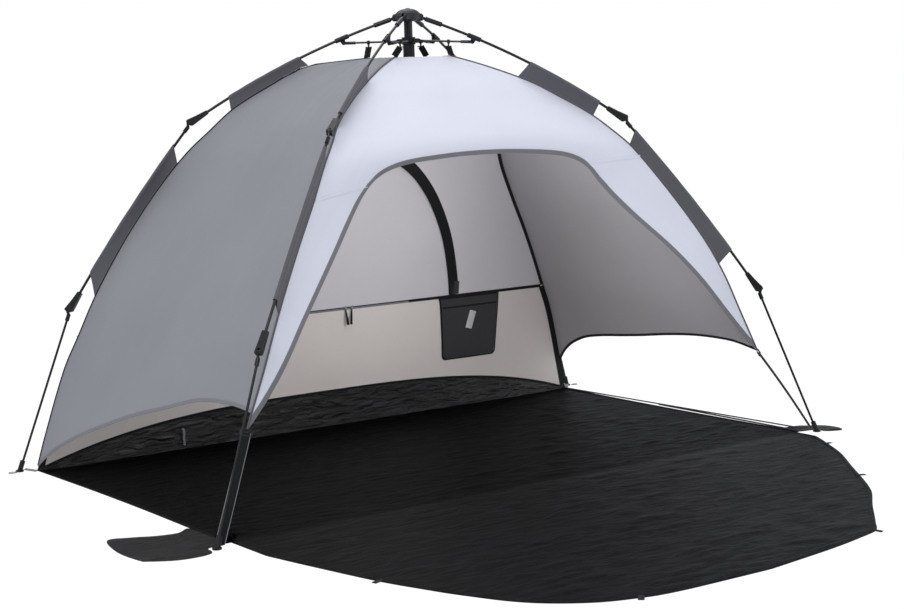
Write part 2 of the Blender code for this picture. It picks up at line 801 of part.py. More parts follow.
def floor(legs, root):
    """The ground sheet, its sand flaps and the sill that it turns up along the back."""
    half, reach = FLOOR_HALF_WIDTH, FRONT_REACH
    back = back_point(legs, 0.0, 0.5).y
    right = [(x * half, y * reach) for x, y in RIGHT_SAND_FLAP_SHARES]
    left = [(x * half, y * reach) for x, y in LEFT_SAND_FLAP_SHARES]
    outline = [(-half, back), *left, (-half, -SILL_LINE), (half, -SILL_LINE), *right, (half, back)]
    axes = (Vector((1.0, 0.0, 0.0)), Vector((0.0, 1.0, 0.0)), UP)
    base = plate("floor", outline, Vector(), axes, 0.0, SHEET)
    grid = []
    for i in range(2):
        line = []
        for j in range(BACK_COLUMNS + 1):
            foot = back_point(legs, 0.0, j / BACK_COLUMNS)
            if i == 0:
                line.append(back_point(legs, sill_height(foot.x), j / BACK_COLUMNS))
            else:
                line.append(foot + Vector((0.0, -SILL_LAP, SILL_LAP)))
        grid.append(line)
    sill = sheet("sill", grid, lambda p: Vector((0.0, 1.0, 0.0)))
    place(combined(base, [sill], "UNION"), root, FLOOR_SHEET, smooth=False)


def door_flap(carrier):
    """The zip-up door, laid flat on the ground in front of the sill."""
    outline = [(x * FLOOR_HALF_WIDTH, -SILL_LINE - FLAP_HINGE_GAP - y * FLAP_REACH)
               for x, y in DOOR_FLAP_SHARES]
    axes = (Vector((1.0, 0.0, 0.0)), Vector((0.0, 1.0, 0.0)), UP)
    made = plate("door_flap", outline, Vector(), axes, 0.0, SHEET)
    place(made, carrier, FLOOR_SHEET, smooth=False)


def hub_cap(legs, root):
    centre = UP * HUB_HEIGHT
    profile = [
        (0.0, HUB_DOME_RISE + HUB_BUTTON_HEIGHT),
        (HUB_BUTTON_RADIUS, HUB_DOME_RISE + HUB_BUTTON_HEIGHT),
        (HUB_BUTTON_RADIUS * 1.1, HUB_DOME_RISE),
        (HUB_RADIUS * 0.42, HUB_DOME_RISE * 0.93),
        (HUB_RADIUS * 0.66, HUB_DOME_RISE * 0.74),
        (HUB_RADIUS * 0.85, HUB_DOME_RISE * 0.44),
        (HUB_RADIUS * 0.97, HUB_DOME_RISE * 0.08),
        (HUB_RADIUS, -HUB_CAP_DROP),
        (HUB_RADIUS * 0.93, -HUB_CAP_DROP),
        (HUB_RADIUS * 0.62, -HUB_SKIRT_DROP),
        (0.0, -HUB_SKIRT_DROP),
    ]
    cap = turned("hub_cap", profile, centre, 28)
    lobes, slots, pins = [], [], []
    for leg in legs.values():
        axes = (leg.out, UP, leg.hub_axis)
        tip = HUB_LOBE_REACH
        lobe = [(0.0, -HUB_SKIRT_DROP), (tip * 0.93, -HUB_SKIRT_DROP), (tip, -HUB_SKIRT_DROP * 0.6),
                (tip, HUB_LOBE_RISE * 0.4), (tip * 0.90, HUB_LOBE_RISE), (0.0, HUB_LOBE_RISE)]
        wide = HUB_LOBE_HALF_WIDTH
        lobes.append(plate("lobe", lobe, centre, axes, -wide, wide))
        low = (HUB_SLOT_ROOT, -HUB_SKIRT_DROP - OVERRUN)
        slot = box_outline(low, (tip + OVERRUN * 2, HUB_SLOT_RISE))
        gap = ARM_EYE_THICKNESS / 2 + RUN_GAP
        slots.append(plate("slot", slot, centre, axes, -gap, gap))
        long = wide - OVERRUN / 2
        pins.append(rod("pin", leg.hub_pin - leg.hub_axis * long, leg.hub_pin + leg.hub_axis * long,
                        PIN_RADIUS, POLE_SIDES))
    combined(cap, lobes, "UNION")
    combined(cap, slots, "DIFFERENCE")
    combined(cap, pins, "UNION")
    place(cap, root, PLASTIC)


def centre_post(root):
    top = HUB_HEIGHT - HUB_SKIRT_DROP - SEAT_GAP
    made = rod("centre_post", UP * (top - POST_LENGTH), UP * top, POST_RADIUS, POST_SIDES)
    place(made, root, STEEL)


def runner(legs, carrier):
    """The sliding collar and its sleeve, with a slotted ear for each strut."""
    centre = UP * (HUB_HEIGHT - RUNNER_DROP)
    profile = [
        (0.0, RUNNER_COLLAR_HALF),
        (RUNNER_COLLAR_RADIUS * 0.94, RUNNER_COLLAR_HALF),
        (RUNNER_COLLAR_RADIUS, RUNNER_COLLAR_HALF * 0.85),
        (RUNNER_COLLAR_RADIUS, -RUNNER_COLLAR_HALF * 0.85),
        (RUNNER_SLEEVE_RADIUS, -RUNNER_COLLAR_HALF),
        (RUNNER_SLEEVE_RADIUS, -RUNNER_SLEEVE_LENGTH),
        (0.0, -RUNNER_SLEEVE_LENGTH),
    ]
    made = turned("runner", profile, centre, POST_SIDES)
    ears, cuts, pins = [], [], []
    for leg in legs.values():
        pin = leg.runner_pin()
        axes = (leg.out, UP, leg.beside)
        tall, wide = RUNNER_EAR_HALF_HEIGHT, RUNNER_EAR_HALF_WIDTH
        ear = [(RUNNER_EAR_INNER - RUNNER_PIN_REACH, -tall), (0.0, -tall)]
        ear += arc((0.0, 0.0), tall, -60, 60, 5) + [(0.0, tall)]
        ear += [(RUNNER_EAR_INNER - RUNNER_PIN_REACH, tall)]
        ears.append(plate("ear", ear, pin, axes, -wide, wide))
        gap = STRUT_EYE_THICKNESS / 2 + RUN_GAP
        slot = box_outline((-RUNNER_SLOT_ROOT, -tall - OVERRUN), (tall + OVERRUN, tall + OVERRUN))
        cuts.append(plate("slot", slot, pin, axes, -gap, gap))
        long = wide - OVERRUN / 4
        pins.append(rod("pin", pin - leg.beside * long, pin + leg.beside * long,
                        PIN_RADIUS, POLE_SIDES))
    bore = rod("bore", centre - UP * (RUNNER_SLEEVE_LENGTH + OVERRUN),
               centre + UP * (RUNNER_COLLAR_HALF + OVERRUN), POST_RADIUS + RUN_GAP, POST_SIDES)
    combined(made, ears, "UNION")
    combined(made, cuts, "DIFFERENCE")
    combined(made, pins, "UNION")
    combined(made, [bore], "DIFFERENCE")
    place(made, carrier, PLASTIC)


def pole(name, point, length, bands, rings, normal, sides=POLE_SIDES):
    """A round pole along a curve; bands are (from, to, radius) in metres from its start."""
    stops, radii = [], []
    for start, end, radius in bands:
        count = max(2, round(rings * (end - start) / length) + 1)
        for i in range(count):
            stops.append(start + (end - start) * i / (count - 1))
            radii.append(radius)
    centres = [point(s / length) for s in stops]
    for i in range(1, len(stops)):
        if stops[i] == stops[i - 1]:
            ahead = (centres[i] - point(stops[i] / length - STEP_SHARE)).normalized()
            centres[i] = centres[i] + ahead * STEP_LENGTH
    return swept(name, centres, [normal] * len(centres), [circle(r, sides) for r in radii])


def hinge_axes(along, out, axis):
    """Axes square to a hinge: as near as can be along the pole and out of it, then the hinge's own."""
    along, _, across_hinge = frame_along(along - axis * along.dot(axis), axis)
    return along, across_hinge if across_hinge.dot(out) > 0 else -across_hinge, axis


def tongue(name, pin, along, out, axis, half, drop, reach, lap, eye=EYE_RADIUS, tall=SOCKET_RADIUS):
    """A flat eye on a hinge pin, with its arm out to the socket whose centre lies drop inside it."""
    outline = arc((0.0, 0.0), eye, 60, 300)
    outline += [(reach, -drop - tall * 0.9), (reach + lap, -drop - tall * 0.7)]
    outline += [(reach + lap, -drop + tall * 0.7), (reach, -drop + tall * 0.9)]
    made = plate(name, outline, pin, (along, out, axis), -half, half)
    hole = PIN_RADIUS + PIN_HOLE_GAP
    long = axis * (half + OVERRUN)
    return combined(made, [rod("hole", pin - long, pin + long, hole, ROUND_SIDES)], "DIFFERENCE")


def arm(leg, carrier):
    """A hub-to-elbow pole with the eye and socket that hold it in the hub."""
    length = leg.arm_length()
    rod_end = length - KNUCKLE_SLOT_DEPTH - OVERRUN - SEAT_GAP
    socket = ARM_SOCKET_START + ARM_SOCKET_LENGTH
    bands = [(ARM_SOCKET_START, socket, ARM_SOCKET_RADIUS), (socket, rod_end, POLE_RADIUS)]
    made = pole(f"arm_{leg.name}", leg.arm_point, length, bands, ARM_RINGS, leg.arm_out)
    axes = hinge_axes(leg.arm_point(START_SHARE) - leg.arm_point(0), UP, leg.hub_axis)
    eye = tongue("eye", leg.hub_pin, *axes, ARM_EYE_THICKNESS / 2, 0.0,
                 ARM_SOCKET_START, ARM_SOCKET_LENGTH / 8, EYE_RADIUS, EYE_RADIUS)
    place(combined(made, [eye], "UNION"), carrier, STEEL)


def lower_sections(leg, carrier_mid, carrier_low):
    """The middle and lower poles, each with the tongue that hinges in the knuckle above."""
    start = TONGUE_REACH
    socket = start + SOCKET_LENGTH
    length = leg.mid_length()
    rod_end = length - KNUCKLE_SLOT_DEPTH - OVERRUN - SEAT_GAP
    bands = [(start, socket, SOCKET_RADIUS), (socket, rod_end, POLE_RADIUS)]
    made = pole(f"middle_pole_{leg.name}", leg.mid_point, length, bands, MIDDLE_RINGS, leg.mid_out)
    axes = hinge_axes(leg.mid_point(START_SHARE) - leg.mid_point(0), leg.mid_out, leg.elbow_axis)
    half = TONGUE_THICKNESS / 2
    eye = tongue("eye", leg.elbow, *axes, half, PIN_OFFSET, start, TONGUE_LAP)
    place(combined(made, [eye], "UNION"), carrier_mid, STEEL)
    length = leg.low_length()
    bands = [(start, socket, SOCKET_RADIUS), (socket, length - FOOT_FLOOR, LOWER_POLE_RADIUS)]
    made = pole(f"lower_pole_{leg.name}", leg.low_point, length, bands, 1, leg.low_out)
    axes = hinge_axes(leg.low_point(START_SHARE) - leg.low_point(0), leg.low_out, leg.knee_axis)
    eye = tongue("eye", leg.knee, *axes, half, PIN_OFFSET, start, TONGUE_LAP)
    place(combined(made, [eye], "UNION"), carrier_low, STEEL)


def knuckle(name, pin, point, length, out, axis, carrier):
    """The teardrop housing on a pole's end: a bore for the pole, a slot, a rivet and grip ribs."""
    along = point(1 - SEAT_GAP) - point(1 - KNUCKLE_LENGTH / length)
    along, out, _ = frame_along(along, out)
    axes = hinge_axes(along, out, axis)
    neck = (-KNUCKLE_LENGTH, -PIN_OFFSET)
    boss, belly = KNUCKLE_BOSS, -PIN_OFFSET - KNUCKLE_BELLY
    outline = [(neck[0], neck[1] + KNUCKLE_NECK), (neck[0] * 0.5, neck[1] + KNUCKLE_NECK * 1.6)]
    outline += arc((0.0, 0.0), boss, 120, -45)
    outline += [(boss * 0.8, -PIN_OFFSET * 1.15), (-boss * 0.4, belly), (-KNUCKLE_LENGTH * 0.22, belly)]
    outline += [(neck[0], neck[1] - KNUCKLE_NECK)]
    wide = KNUCKLE_HALF_WIDTH
    made = plate(name, outline, pin, axes, -wide, wide)
    gap = TONGUE_THICKNESS / 2 + RUN_GAP
    tall = KNUCKLE_BELLY + PIN_OFFSET + OVERRUN
    slot = box_outline((-KNUCKLE_SLOT_DEPTH, -tall), (boss + OVERRUN, boss + OVERRUN))
    start = pin - out * PIN_OFFSET - along * (KNUCKLE_LENGTH + OVERRUN)
    end = pin - out * PIN_OFFSET - along * (KNUCKLE_SLOT_DEPTH - OVERRUN)
    cuts = [plate("slot", slot, pin, axes, -gap, gap),
            rod("bore", start, end, POLE_RADIUS + BORE_GAP, ROUND_SIDES)]
    for i in range(KNUCKLE_RIBS):
        middle = -KNUCKLE_LENGTH * 0.42 + KNUCKLE_RIB_WIDTH * 2.4 * i
        low = (middle - KNUCKLE_RIB_WIDTH / 2, neck[1] - KNUCKLE_NECK * 0.8)
        high = (middle + KNUCKLE_RIB_WIDTH / 2, neck[1] + KNUCKLE_NECK * 0.8)
        groove = box_outline(low, high)
        face = wide - KNUCKLE_RIB_DEPTH
        cuts.append(plate("groove", groove, pin, axes, face, wide + OVERRUN))
        cuts.append(plate("groove", groove, pin, axes, -wide - OVERRUN, -face))
    combined(made, cuts, "DIFFERENCE")
    reach = axis * (wide + PIN_HEAD_HEIGHT)
    head = axis * (wide - OVERRUN / 2)
    parts = [rod("pin", pin - head, pin + head, PIN_RADIUS, POLE_SIDES)]
    parts += [rod("rivet", pin + head, pin + reach, PIN_HEAD_RADIUS, POLE_SIDES)]
    parts += [rod("rivet", pin - reach, pin - head, PIN_HEAD_RADIUS, POLE_SIDES)]
    place(combined(made, parts, "UNION"), carrier, PLASTIC)


def bracket(leg, carrier):
    """The sleeve on an arm with the ear that the strut's outer end swings against."""
    centre, along, across = leg.bracket_axes()
    tube = along * BRACKET_HALF_LENGTH
    made = rod(f"strut_bracket_{leg.name}", centre - tube, centre + tube, BRACKET_RADIUS, ROUND_SIDES)
    radius, drop = BRACKET_EAR_RADIUS, BRACKET_EYE_DROP
    outline = [(radius * 1.6, 0.0), *reversed(arc((0.0, -drop), radius, -180, 0)), (-radius * 1.6, 0.0)]
    axes = (across.cross(leg.beside), across, leg.beside)
    outer = STRUT_OFFSET - STRUT_OUTER_EYE_THICKNESS / 2 - BRACKET_EAR_GAP
    ear = plate("ear", outline, centre, axes, BRACKET_EAR_INNER, outer)
    combined(made, [ear], "UNION")
    bore = along * (BRACKET_HALF_LENGTH + OVERRUN)
    hole = rod("bore", centre - bore, centre + bore, POLE_RADIUS + BORE_GAP, ROUND_SIDES)
    place(combined(made, [hole], "DIFFERENCE"), carrier, PLASTIC)


def strut(leg, carrier):
    """A thin rod with an eye on the runner's pin and a socket with an eye at the bracket."""
    start, end = leg.runner_pin(), leg.strut_eye()
    along, out, _ = frame_along(end - start, UP)
    length = (end - start).length
    inner, outer = EYE_RADIUS, length - EYE_RADIUS
    bands = [(inner, outer - STRUT_SOCKET_LENGTH, STRUT_RADIUS),
             (outer - STRUT_SOCKET_LENGTH, outer, STRUT_SOCKET_RADIUS)]
    made = pole(f"strut_{leg.name}", lambda t: start.lerp(end, t), length, bands, 1, UP)
    axes = (along, out, leg.beside)
    half, wide = STRUT_EYE_THICKNESS / 2, STRUT_OUTER_EYE_THICKNESS / 2
    tall = STRUT_RADIUS * 0.9
    eye = arc((0.0, 0.0), EYE_RADIUS, 50, 310)
    eye += [(EYE_RADIUS + STRUT_EYE_LAP, -tall), (EYE_RADIUS + STRUT_EYE_LAP, tall)]
    far = arc((0.0, 0.0), EYE_RADIUS, -130, 130)
    far += [(-EYE_RADIUS - STRUT_EYE_LAP, tall), (-EYE_RADIUS - STRUT_EYE_LAP, -tall)]
    ends = [plate("eye", eye, start, axes, -half, half), plate("eye", far, end, axes, -wide, wide)]
    combined(made, ends, "UNION")
    hole = PIN_RADIUS + PIN_HOLE_GAP
    near, away = leg.beside * (half + OVERRUN), leg.beside * (wide + OVERRUN)
    holes = [rod("hole", start - near, start + near, hole, ROUND_SIDES),
             rod("hole", end - away, end + away, PIN_RADIUS, ROUND_SIDES)]
    place(combined(made, holes, "DIFFERENCE"), carrier, STEEL)


def hanging_clip(leg, carrier):
    """A snap clip on the strut with a ring, and the webbing down to the canopy's corner."""
    start, end = leg.runner_pin(), leg.strut_eye()
    share = (CLIP_REACH - RUNNER_PIN_REACH) / (end - start).length
    centre = start.lerp(end, share)
    along, out, _ = frame_along(end - start, UP)
    tube = along * CLIP_HALF_WIDTH
    made = rod(f"hanging_clip_{leg.name}", centre - tube, centre + tube, CLIP_RADIUS, ROUND_SIDES)
    stem_half = CLIP_STEM_HALF
    axes = (along, leg.beside, out)
    stem_low = -CLIP_STEM_DROP - CLIP_RING_WIRE
    stem = plate("stem", box_outline((-stem_half, -stem_half), (stem_half, stem_half)),
                 centre, axes, stem_low, -STRUT_RADIUS)
    bar_half = CLIP_RING_HALF_WIDTH
    bar = plate("bar", box_outline((-CLIP_RING_WIRE, -bar_half), (CLIP_RING_WIRE, bar_half)),
                centre, axes, stem_low - CLIP_RING_WIRE, stem_low + CLIP_RING_WIRE)
    top = centre + out * stem_low
    corner = leg.out * CROWN_REACH + UP * (CROWN_HEIGHT + WEBBING_GAP)
    run, side, flat = frame_along(corner - top, leg.beside)
    flat_half, wide = WEBBING_THICKNESS / 2, WEBBING_HALF_WIDTH
    tape = plate("tape", box_outline((-wide, -flat_half), (wide, flat_half)),
                 top, (side, flat, run), 0.0, (corner - top).length)
    combined(made, [stem, bar, tape], "UNION")
    bore = along * (CLIP_HALF_WIDTH + OVERRUN)
    hole = rod("bore", centre - bore, centre + bore, STRUT_RADIUS + RUN_GAP, ROUND_SIDES)
    place(combined(made, [hole], "DIFFERENCE"), carrier, WEBBING)


def foot(leg, carrier):
    """A moulded tip: a cup on the pole's end and a round base that stands flat on the ground."""
    along = (leg.foot - leg.knee).normalized()
    base = Vector((leg.foot.x, leg.foot.y, 0.0))
    made = rod(f"foot_{leg.name}", base, base + UP * FOOT_BASE_HEIGHT, FOOT_BASE_RADIUS, ROUND_SIDES)
    cup = rod("cup", leg.foot + UP * OVERRUN, leg.foot - along * FOOT_CUP_LENGTH,
              FOOT_CUP_RADIUS, ROUND_SIDES)
    combined(made, [cup], "UNION")
    axis = (leg.low_point(START_SHARE) - leg.low_point(0)).normalized()
    hole = rod("bore", leg.foot - axis * (FOOT_FLOOR - SEAT_GAP), leg.foot - axis * (FOOT_CUP_LENGTH * 1.2),
               LOWER_POLE_RADIUS + RUN_GAP, ROUND_SIDES)
    place(combined(made, [hole], "DIFFERENCE"), carrier, PLASTIC)


def sleeve_outline(length, radius, fin, stretch):
    """A teardrop: round the pole at the origin, drawn to a narrow fin that ends length away."""
    bow = [(a * stretch, b) for a, b in arc((0.0, 0.0), radius, 60, 300)]
    waist = length * 0.55
    return [*bow, (waist, -fin * 1.5), (length, -fin), (length, fin), (waist, fin * 1.5)]


def sleeve(name, leg, point, shares, carrier):
    """A cloth pocket round a pole, sewn along its inner edge to the canopy's seam."""
    start, end, seam_high, seam_low = shares
    count = SLEEVE_STATIONS
    outer, inner, centres, normals = [], [], [], []
    for i in range(count):
        t = i / (count - 1)
        centre = point(start + (end - start) * t)
        height = (seam_high + (seam_low - seam_high) * t) * HUB_HEIGHT
        sewn = seam_point(leg, height)
        way = (point(start + (end - start) * t + 0.01) - centre).normalized()
        stretch = 1 / way.cross((sewn - centre).normalized()).length
        length = (sewn - centre).length - SLEEVE_SEAM_GAP
        centres.append(centre)
        normals.append(sewn - centre)
        fin, bore = SLEEVE_HALF_FIN, POLE_RADIUS + BORE_GAP
        outer.append(sleeve_outline(length, SLEEVE_RADIUS, fin, stretch))
        inner.append(sleeve_outline(length * 0.5, bore, fin * 0.4, stretch))
    made = swept(name, centres, normals, outer, skew=True)
    first = centres[0] + (centres[0] - centres[1]).normalized() * OVERRUN
    last = centres[-1] + (centres[-1] - centres[-2]).normalized() * OVERRUN
    hollow = swept("hollow", [first, *centres[1:-1], last], normals, inner, skew=True)
    place(combined(made, [hollow], "DIFFERENCE"), carrier, SLEEVE_CLOTH)


def corner_strap(leg, root):
    """Webbing from the canopy's front corner to the foot, or from the floor's back corner."""
    half = WEBBING_THICKNESS / 2
    if leg.front:
        hem = ARCH_COLUMN_SHARES[-1][1] * HUB_HEIGHT
        top = seam_point(leg, hem)
        low = top.lerp(leg.foot, STRAP_FOOT_SHARE)
        low.z = STRAP_END_HEIGHT
        run = (low - top).normalized()
        top = top + run * STRAP_TOP_GAP
        turn = Vector((-leg.sign * STRAP_TURN_SHARES[0], STRAP_TURN_SHARES[1], 0.0))
        along, side, flat = frame_along(run, turn)
        made = plate(f"corner_strap_{leg.name}",
                     box_outline((-STRAP_HALF_WIDTH, -half), (STRAP_HALF_WIDTH, half)),
                     top, (side, flat, along), 0.0, (low - top).length)
        wide, thick = BUCKLE_HALF_WIDTH, BUCKLE_HALF_THICKNESS
        buckle = plate("buckle", box_outline((-wide, -thick), (wide, thick)), top,
                       (side, flat, along), -BUCKLE_HALF_HEIGHT, BUCKLE_HALF_HEIGHT)
        combined(made, [buckle], "UNION")
    else:
        near = seam_point(leg, 0.0)
        near += (leg.foot - near).normalized() * BACK_STRAP_START
        start = near + UP * (SHEET + SEAT_GAP + half)
        reach = leg.foot + UP * BACK_STRAP_LIFT
        gap = FOOT_BASE_RADIUS + BACK_STRAP_GAP
        end = reach - (reach - start).normalized() * gap
        along, side, flat = frame_along(end - start, (end - start).cross(UP))
        made = plate(f"corner_strap_{leg.name}",
                     box_outline((-WEBBING_HALF_WIDTH, -half), (WEBBING_HALF_WIDTH, half)),
                     start, (side, flat, along), 0.0, (end - start).length)
    place(made, root, WEBBING, smooth=False)


def build():
    clear_scene()
    legs = {}
    for end in ("front", "back"):
        for side in ("left", "right"):
            leg = Leg(side, end)
            legs[leg.name] = leg
    root = body("root", Vector())
    hub_cap(legs, root)
    centre_post(root)
    slider = body("runner_body", UP * (HUB_HEIGHT - RUNNER_DROP), root)
    runner(legs, slider)
    for name, leg in legs.items():
        on_arm = body(f"arm_body_{name}", leg.hub_pin, root)
        on_middle = body(f"middle_body_{name}", leg.elbow, on_arm)
        on_lower = body(f"lower_body_{name}", leg.knee, on_middle)
        on_strut = body(f"strut_body_{name}", leg.runner_pin(), slider)
        arm(leg, on_arm)
        bracket(leg, on_arm)
        knuckle(f"upper_knuckle_{name}", leg.elbow, leg.arm_point, leg.arm_length(),
                leg.arm_out, leg.elbow_axis, on_arm)
        lower_sections(leg, on_middle, on_lower)
        knuckle(f"lower_knuckle_{name}", leg.knee, leg.mid_point, leg.mid_length(),
                leg.mid_end_out, leg.knee_axis, on_middle)
        foot(leg, on_lower)
        strut(leg, on_strut)
        hanging_clip(leg, on_strut)
        arm_shares = ARM_SLEEVE_FRONT_SHARES if leg.front else ARM_SLEEVE_BACK_SHARES
        mid_shares = MIDDLE_SLEEVE_FRONT_SHARES if leg.front else MIDDLE_SLEEVE_BACK_SHARES
        sleeve(f"upper_sleeve_{name}", leg, leg.arm_point, arm_shares, on_arm)
        sleeve(f"lower_sleeve_{name}", leg, leg.mid_point, mid_shares, on_middle)
        corner_strap(leg, root)
    front_panel(legs, root)
    side_panel("left", legs, root)
    side_panel("right", legs, root)
    back_panels(legs, root)
    pocket(legs, root)
    floor(legs, root)
    hinge = Vector((0.0, -SILL_LINE - FLAP_HINGE_GAP / 2, SHEET))
    door_flap(body("door_flap_body", hinge, root))


build()
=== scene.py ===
"""An automatic beach tent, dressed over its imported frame: cloth, webbing, tubes and mouldings."""

from __future__ import annotations

import logging
import math
from collections.abc import Callable, Sequence
from dataclasses import dataclass, field
from enum import Enum

import bmesh
import bpy
from mathutils import Matrix, Vector, noise

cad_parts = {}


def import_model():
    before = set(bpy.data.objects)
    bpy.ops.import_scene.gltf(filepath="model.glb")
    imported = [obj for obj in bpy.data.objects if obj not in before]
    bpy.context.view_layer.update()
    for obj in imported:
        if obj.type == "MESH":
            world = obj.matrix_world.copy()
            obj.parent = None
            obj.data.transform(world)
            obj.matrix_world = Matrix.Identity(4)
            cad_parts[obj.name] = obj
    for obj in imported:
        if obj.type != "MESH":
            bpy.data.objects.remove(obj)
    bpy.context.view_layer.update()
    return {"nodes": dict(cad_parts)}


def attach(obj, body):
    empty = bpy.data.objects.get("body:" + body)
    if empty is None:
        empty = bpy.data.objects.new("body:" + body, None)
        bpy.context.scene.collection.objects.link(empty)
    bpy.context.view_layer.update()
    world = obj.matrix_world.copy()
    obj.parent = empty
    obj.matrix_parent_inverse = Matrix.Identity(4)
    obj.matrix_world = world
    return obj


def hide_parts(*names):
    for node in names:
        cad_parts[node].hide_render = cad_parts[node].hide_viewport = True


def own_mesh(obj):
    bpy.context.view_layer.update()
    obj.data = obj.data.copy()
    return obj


LOG = logging.getLogger("beach_tent")
UP = Vector((0.0, 0.0, 1.0))
RIGHTWARD = Vector((1.0, 0.0, 0.0))
BACKWARD = Vector((0.0, 1.0, 0.0))
Table = Sequence[Sequence[float]]
Grid = list[list[Vector]]
Shell = tuple[list[Vector], list[tuple[int, ...]]]
Finish = bpy.types.Material
Made = bpy.types.Object
Socket = bpy.types.NodeSocket

HUB_HEIGHT = 1.300
CROWN_HEIGHT = 1.182
FOOT_HALF_WIDTH = 1.047
FRONT_REACH = 0.631
BACK_REACH = 0.583
CROWN_ROWS = 2
PANEL_ROWS = 11
ROW_POWER = 1.5
SHARP_ANGLE = 38.0

FRONT_SEAM: Table = (
    (0.8846, 0.1796, 0.1990), (0.8462, 0.2818, 0.3122), (0.8077, 0.3577, 0.3883),
    (0.7692, 0.4236, 0.4667), (0.7308, 0.4700, 0.5341), (0.6923, 0.5131, 0.5880),
    (0.6154, 0.5789, 0.6593), (0.5385, 0.6429, 0.7151), (0.4615, 0.7016, 0.7640),
    (0.3846, 0.7512, 0.7973), (0.3077, 0.7931, 0.8180), (0.1923, 0.8580, 0.8431),
    (0.0000, 0.9550, 0.8950),
)
BACK_SEAM: Table = (
    (0.8990, 0.2300, 0.2360), (0.8784, 0.2905, 0.3074), (0.8538, 0.3399, 0.3597),
    (0.8285, 0.3892, 0.4119), (0.8008, 0.4361, 0.4616), (0.7577, 0.4888, 0.5173),
    (0.7092, 0.5464, 0.5783), (0.6323, 0.6103, 0.6755), (0.5385, 0.6846, 0.7467),
    (0.4615, 0.7413, 0.7851), (0.3846, 0.7918, 0.8196), (0.3077, 0.8351, 0.8461),
    (0.2308, 0.8785, 0.8727), (0.0769, 0.9378, 0.9194), (0.0000, 0.9640, 0.9391),
)
ARCH_COLUMNS: Table = (
    (0.0000, 0.6938), (0.1500, 0.6927), (0.3000, 0.6892), (0.4400, 0.6845), (0.5450, 0.6769),
    (0.6300, 0.6615), (0.6770, 0.6385), (0.6930, 0.6154), (0.7230, 0.5769), (0.7530, 0.5385),
    (0.7890, 0.5000), (0.8230, 0.4615), (0.8800, 0.3846), (0.9240, 0.3077), (0.9650, 0.2423),
    (1.0000, 0.2000),
)
ARCH_RECESS: Table = (
    (0.9077, 0.0000), (0.8462, -0.0160), (0.7692, -0.0240), (0.6923, -0.0160), (0.6615, 0.1000),
    (0.6385, 0.1580), (0.6154, 0.1900), (0.5769, 0.2050), (0.5385, 0.2050), (0.4615, 0.1580),
    (0.3846, 0.1100), (0.3077, 0.0300), (0.2308, 0.0000), (0.0000, 0.0000),
)
SIDE_HEM: Table = (
    (0.0000, 0.2000), (0.1000, 0.2170), (0.2500, 0.2190), (0.4000, 0.2070), (0.5500, 0.1820),
    (0.7000, 0.1520), (0.8200, 0.1180), (0.9000, 0.0820), (0.9600, 0.0440), (1.0000, 0.0120),
)
HEM_SHIFT_LEFT: Table = (
    (0.00, 0.040), (0.10, 0.024), (0.25, 0.012), (0.40, -0.010), (0.55, -0.016), (0.70, -0.027),
    (0.85, -0.027), (1.00, 0.000),
)
HEM_SHIFT_RIGHT: Table = (
    (0.00, 0.000), (0.20, -0.005), (0.42, -0.002), (0.63, 0.020), (0.76, 0.045), (0.87, 0.072),
    (0.956, 0.092), (1.00, 0.092),
)
LEFT_FLAP: Table = (
    (-0.994, -0.640), (-1.040, -0.668), (-1.096, -0.650), (-1.150, -0.605), (-1.209, -0.583),
    (-1.240, -0.780), (-1.235, -0.951), (-1.221, -0.989), (-1.166, -1.046), (-1.110, -1.060),
    (-1.074, -1.046), (-1.062, -1.012), (-1.061, -0.985), (-1.049, -0.965), (-0.997, -0.935),
)
RIGHT_FLAP: Table = (
    (0.997, -0.935), (1.049, -0.965), (1.061, -0.985), (1.066, -1.030), (1.110, -1.062),
    (1.135, -1.010), (1.130, -0.930), (1.100, -0.880), (1.045, -0.852), (0.995, -0.830),
)
DOOR_LEFT: Table = (
    (0.000, -1.012), (0.160, -0.985), (0.330, -0.950), (0.515, -0.907), (0.620, -0.872),
    (0.722, -0.832), (0.850, -0.762), (0.935, -0.664), (0.975, -0.565), (0.995, -0.440),
    (1.000, -0.193),
)
DOOR_RIGHT: Table = (
    (0.000, 1.012), (0.075, 0.985), (0.165, 0.932), (0.290, 0.850), (0.410, 0.752),
    (0.644, 0.558), (0.762, 0.425), (0.885, 0.290), (0.930, 0.235), (0.945, 0.175),
    (0.970, 0.043), (1.000, -0.193),
)


def linear(colour: str) -> tuple[float, float, float, float]:
    """Turns a colour written as sRGB hex into linear light.

    Args:
        colour: Six hex digits with a leading hash.

    Returns:
        Red, green, blue and full alpha.
    """
    parts = [int(colour[i : i + 2], 16) / 255 for i in (1, 3, 5)]
    made = [c / 12.92 if c <= 0.04045 else ((c + 0.055) / 1.055) ** 2.4 for c in parts]
    return (made[0], made[1], made[2], 1.0)


def between(table: Table, at: float) -> list[float]:
    """Reads values from rows of (key, value, ...) by a smooth curve through them.

    Args:
        table: The rows, in any order.
        at: The key to read at, held within the table.

    Returns:
        The values there.
    """
    rows = sorted(table)
    at = min(max(at, rows[0][0]), rows[-1][0])
    i = 0
    while i < len(rows) - 2 and rows[i + 1][0] < at:
        i += 1
    a, b = rows[i], rows[i + 1]
    before, after = rows[max(i - 1, 0)], rows[min(i + 2, len(rows) - 1)]
    span = b[0] - a[0]
    t = (at - a[0]) / span
    found = []
    for c in range(1, len(a)):
        leave = (b[c] - before[c]) / (b[0] - before[0]) * span
        arrive = (after[c] - a[c]) / (after[0] - a[0]) * span
        found.append(
            (2 * t**3 - 3 * t**2 + 1) * a[c]
            + (t**3 - 2 * t**2 + t) * leave
            + (3 * t**2 - 2 * t**3) * b[c]
            + (t**3 - t**2) * arrive
        )
    return found


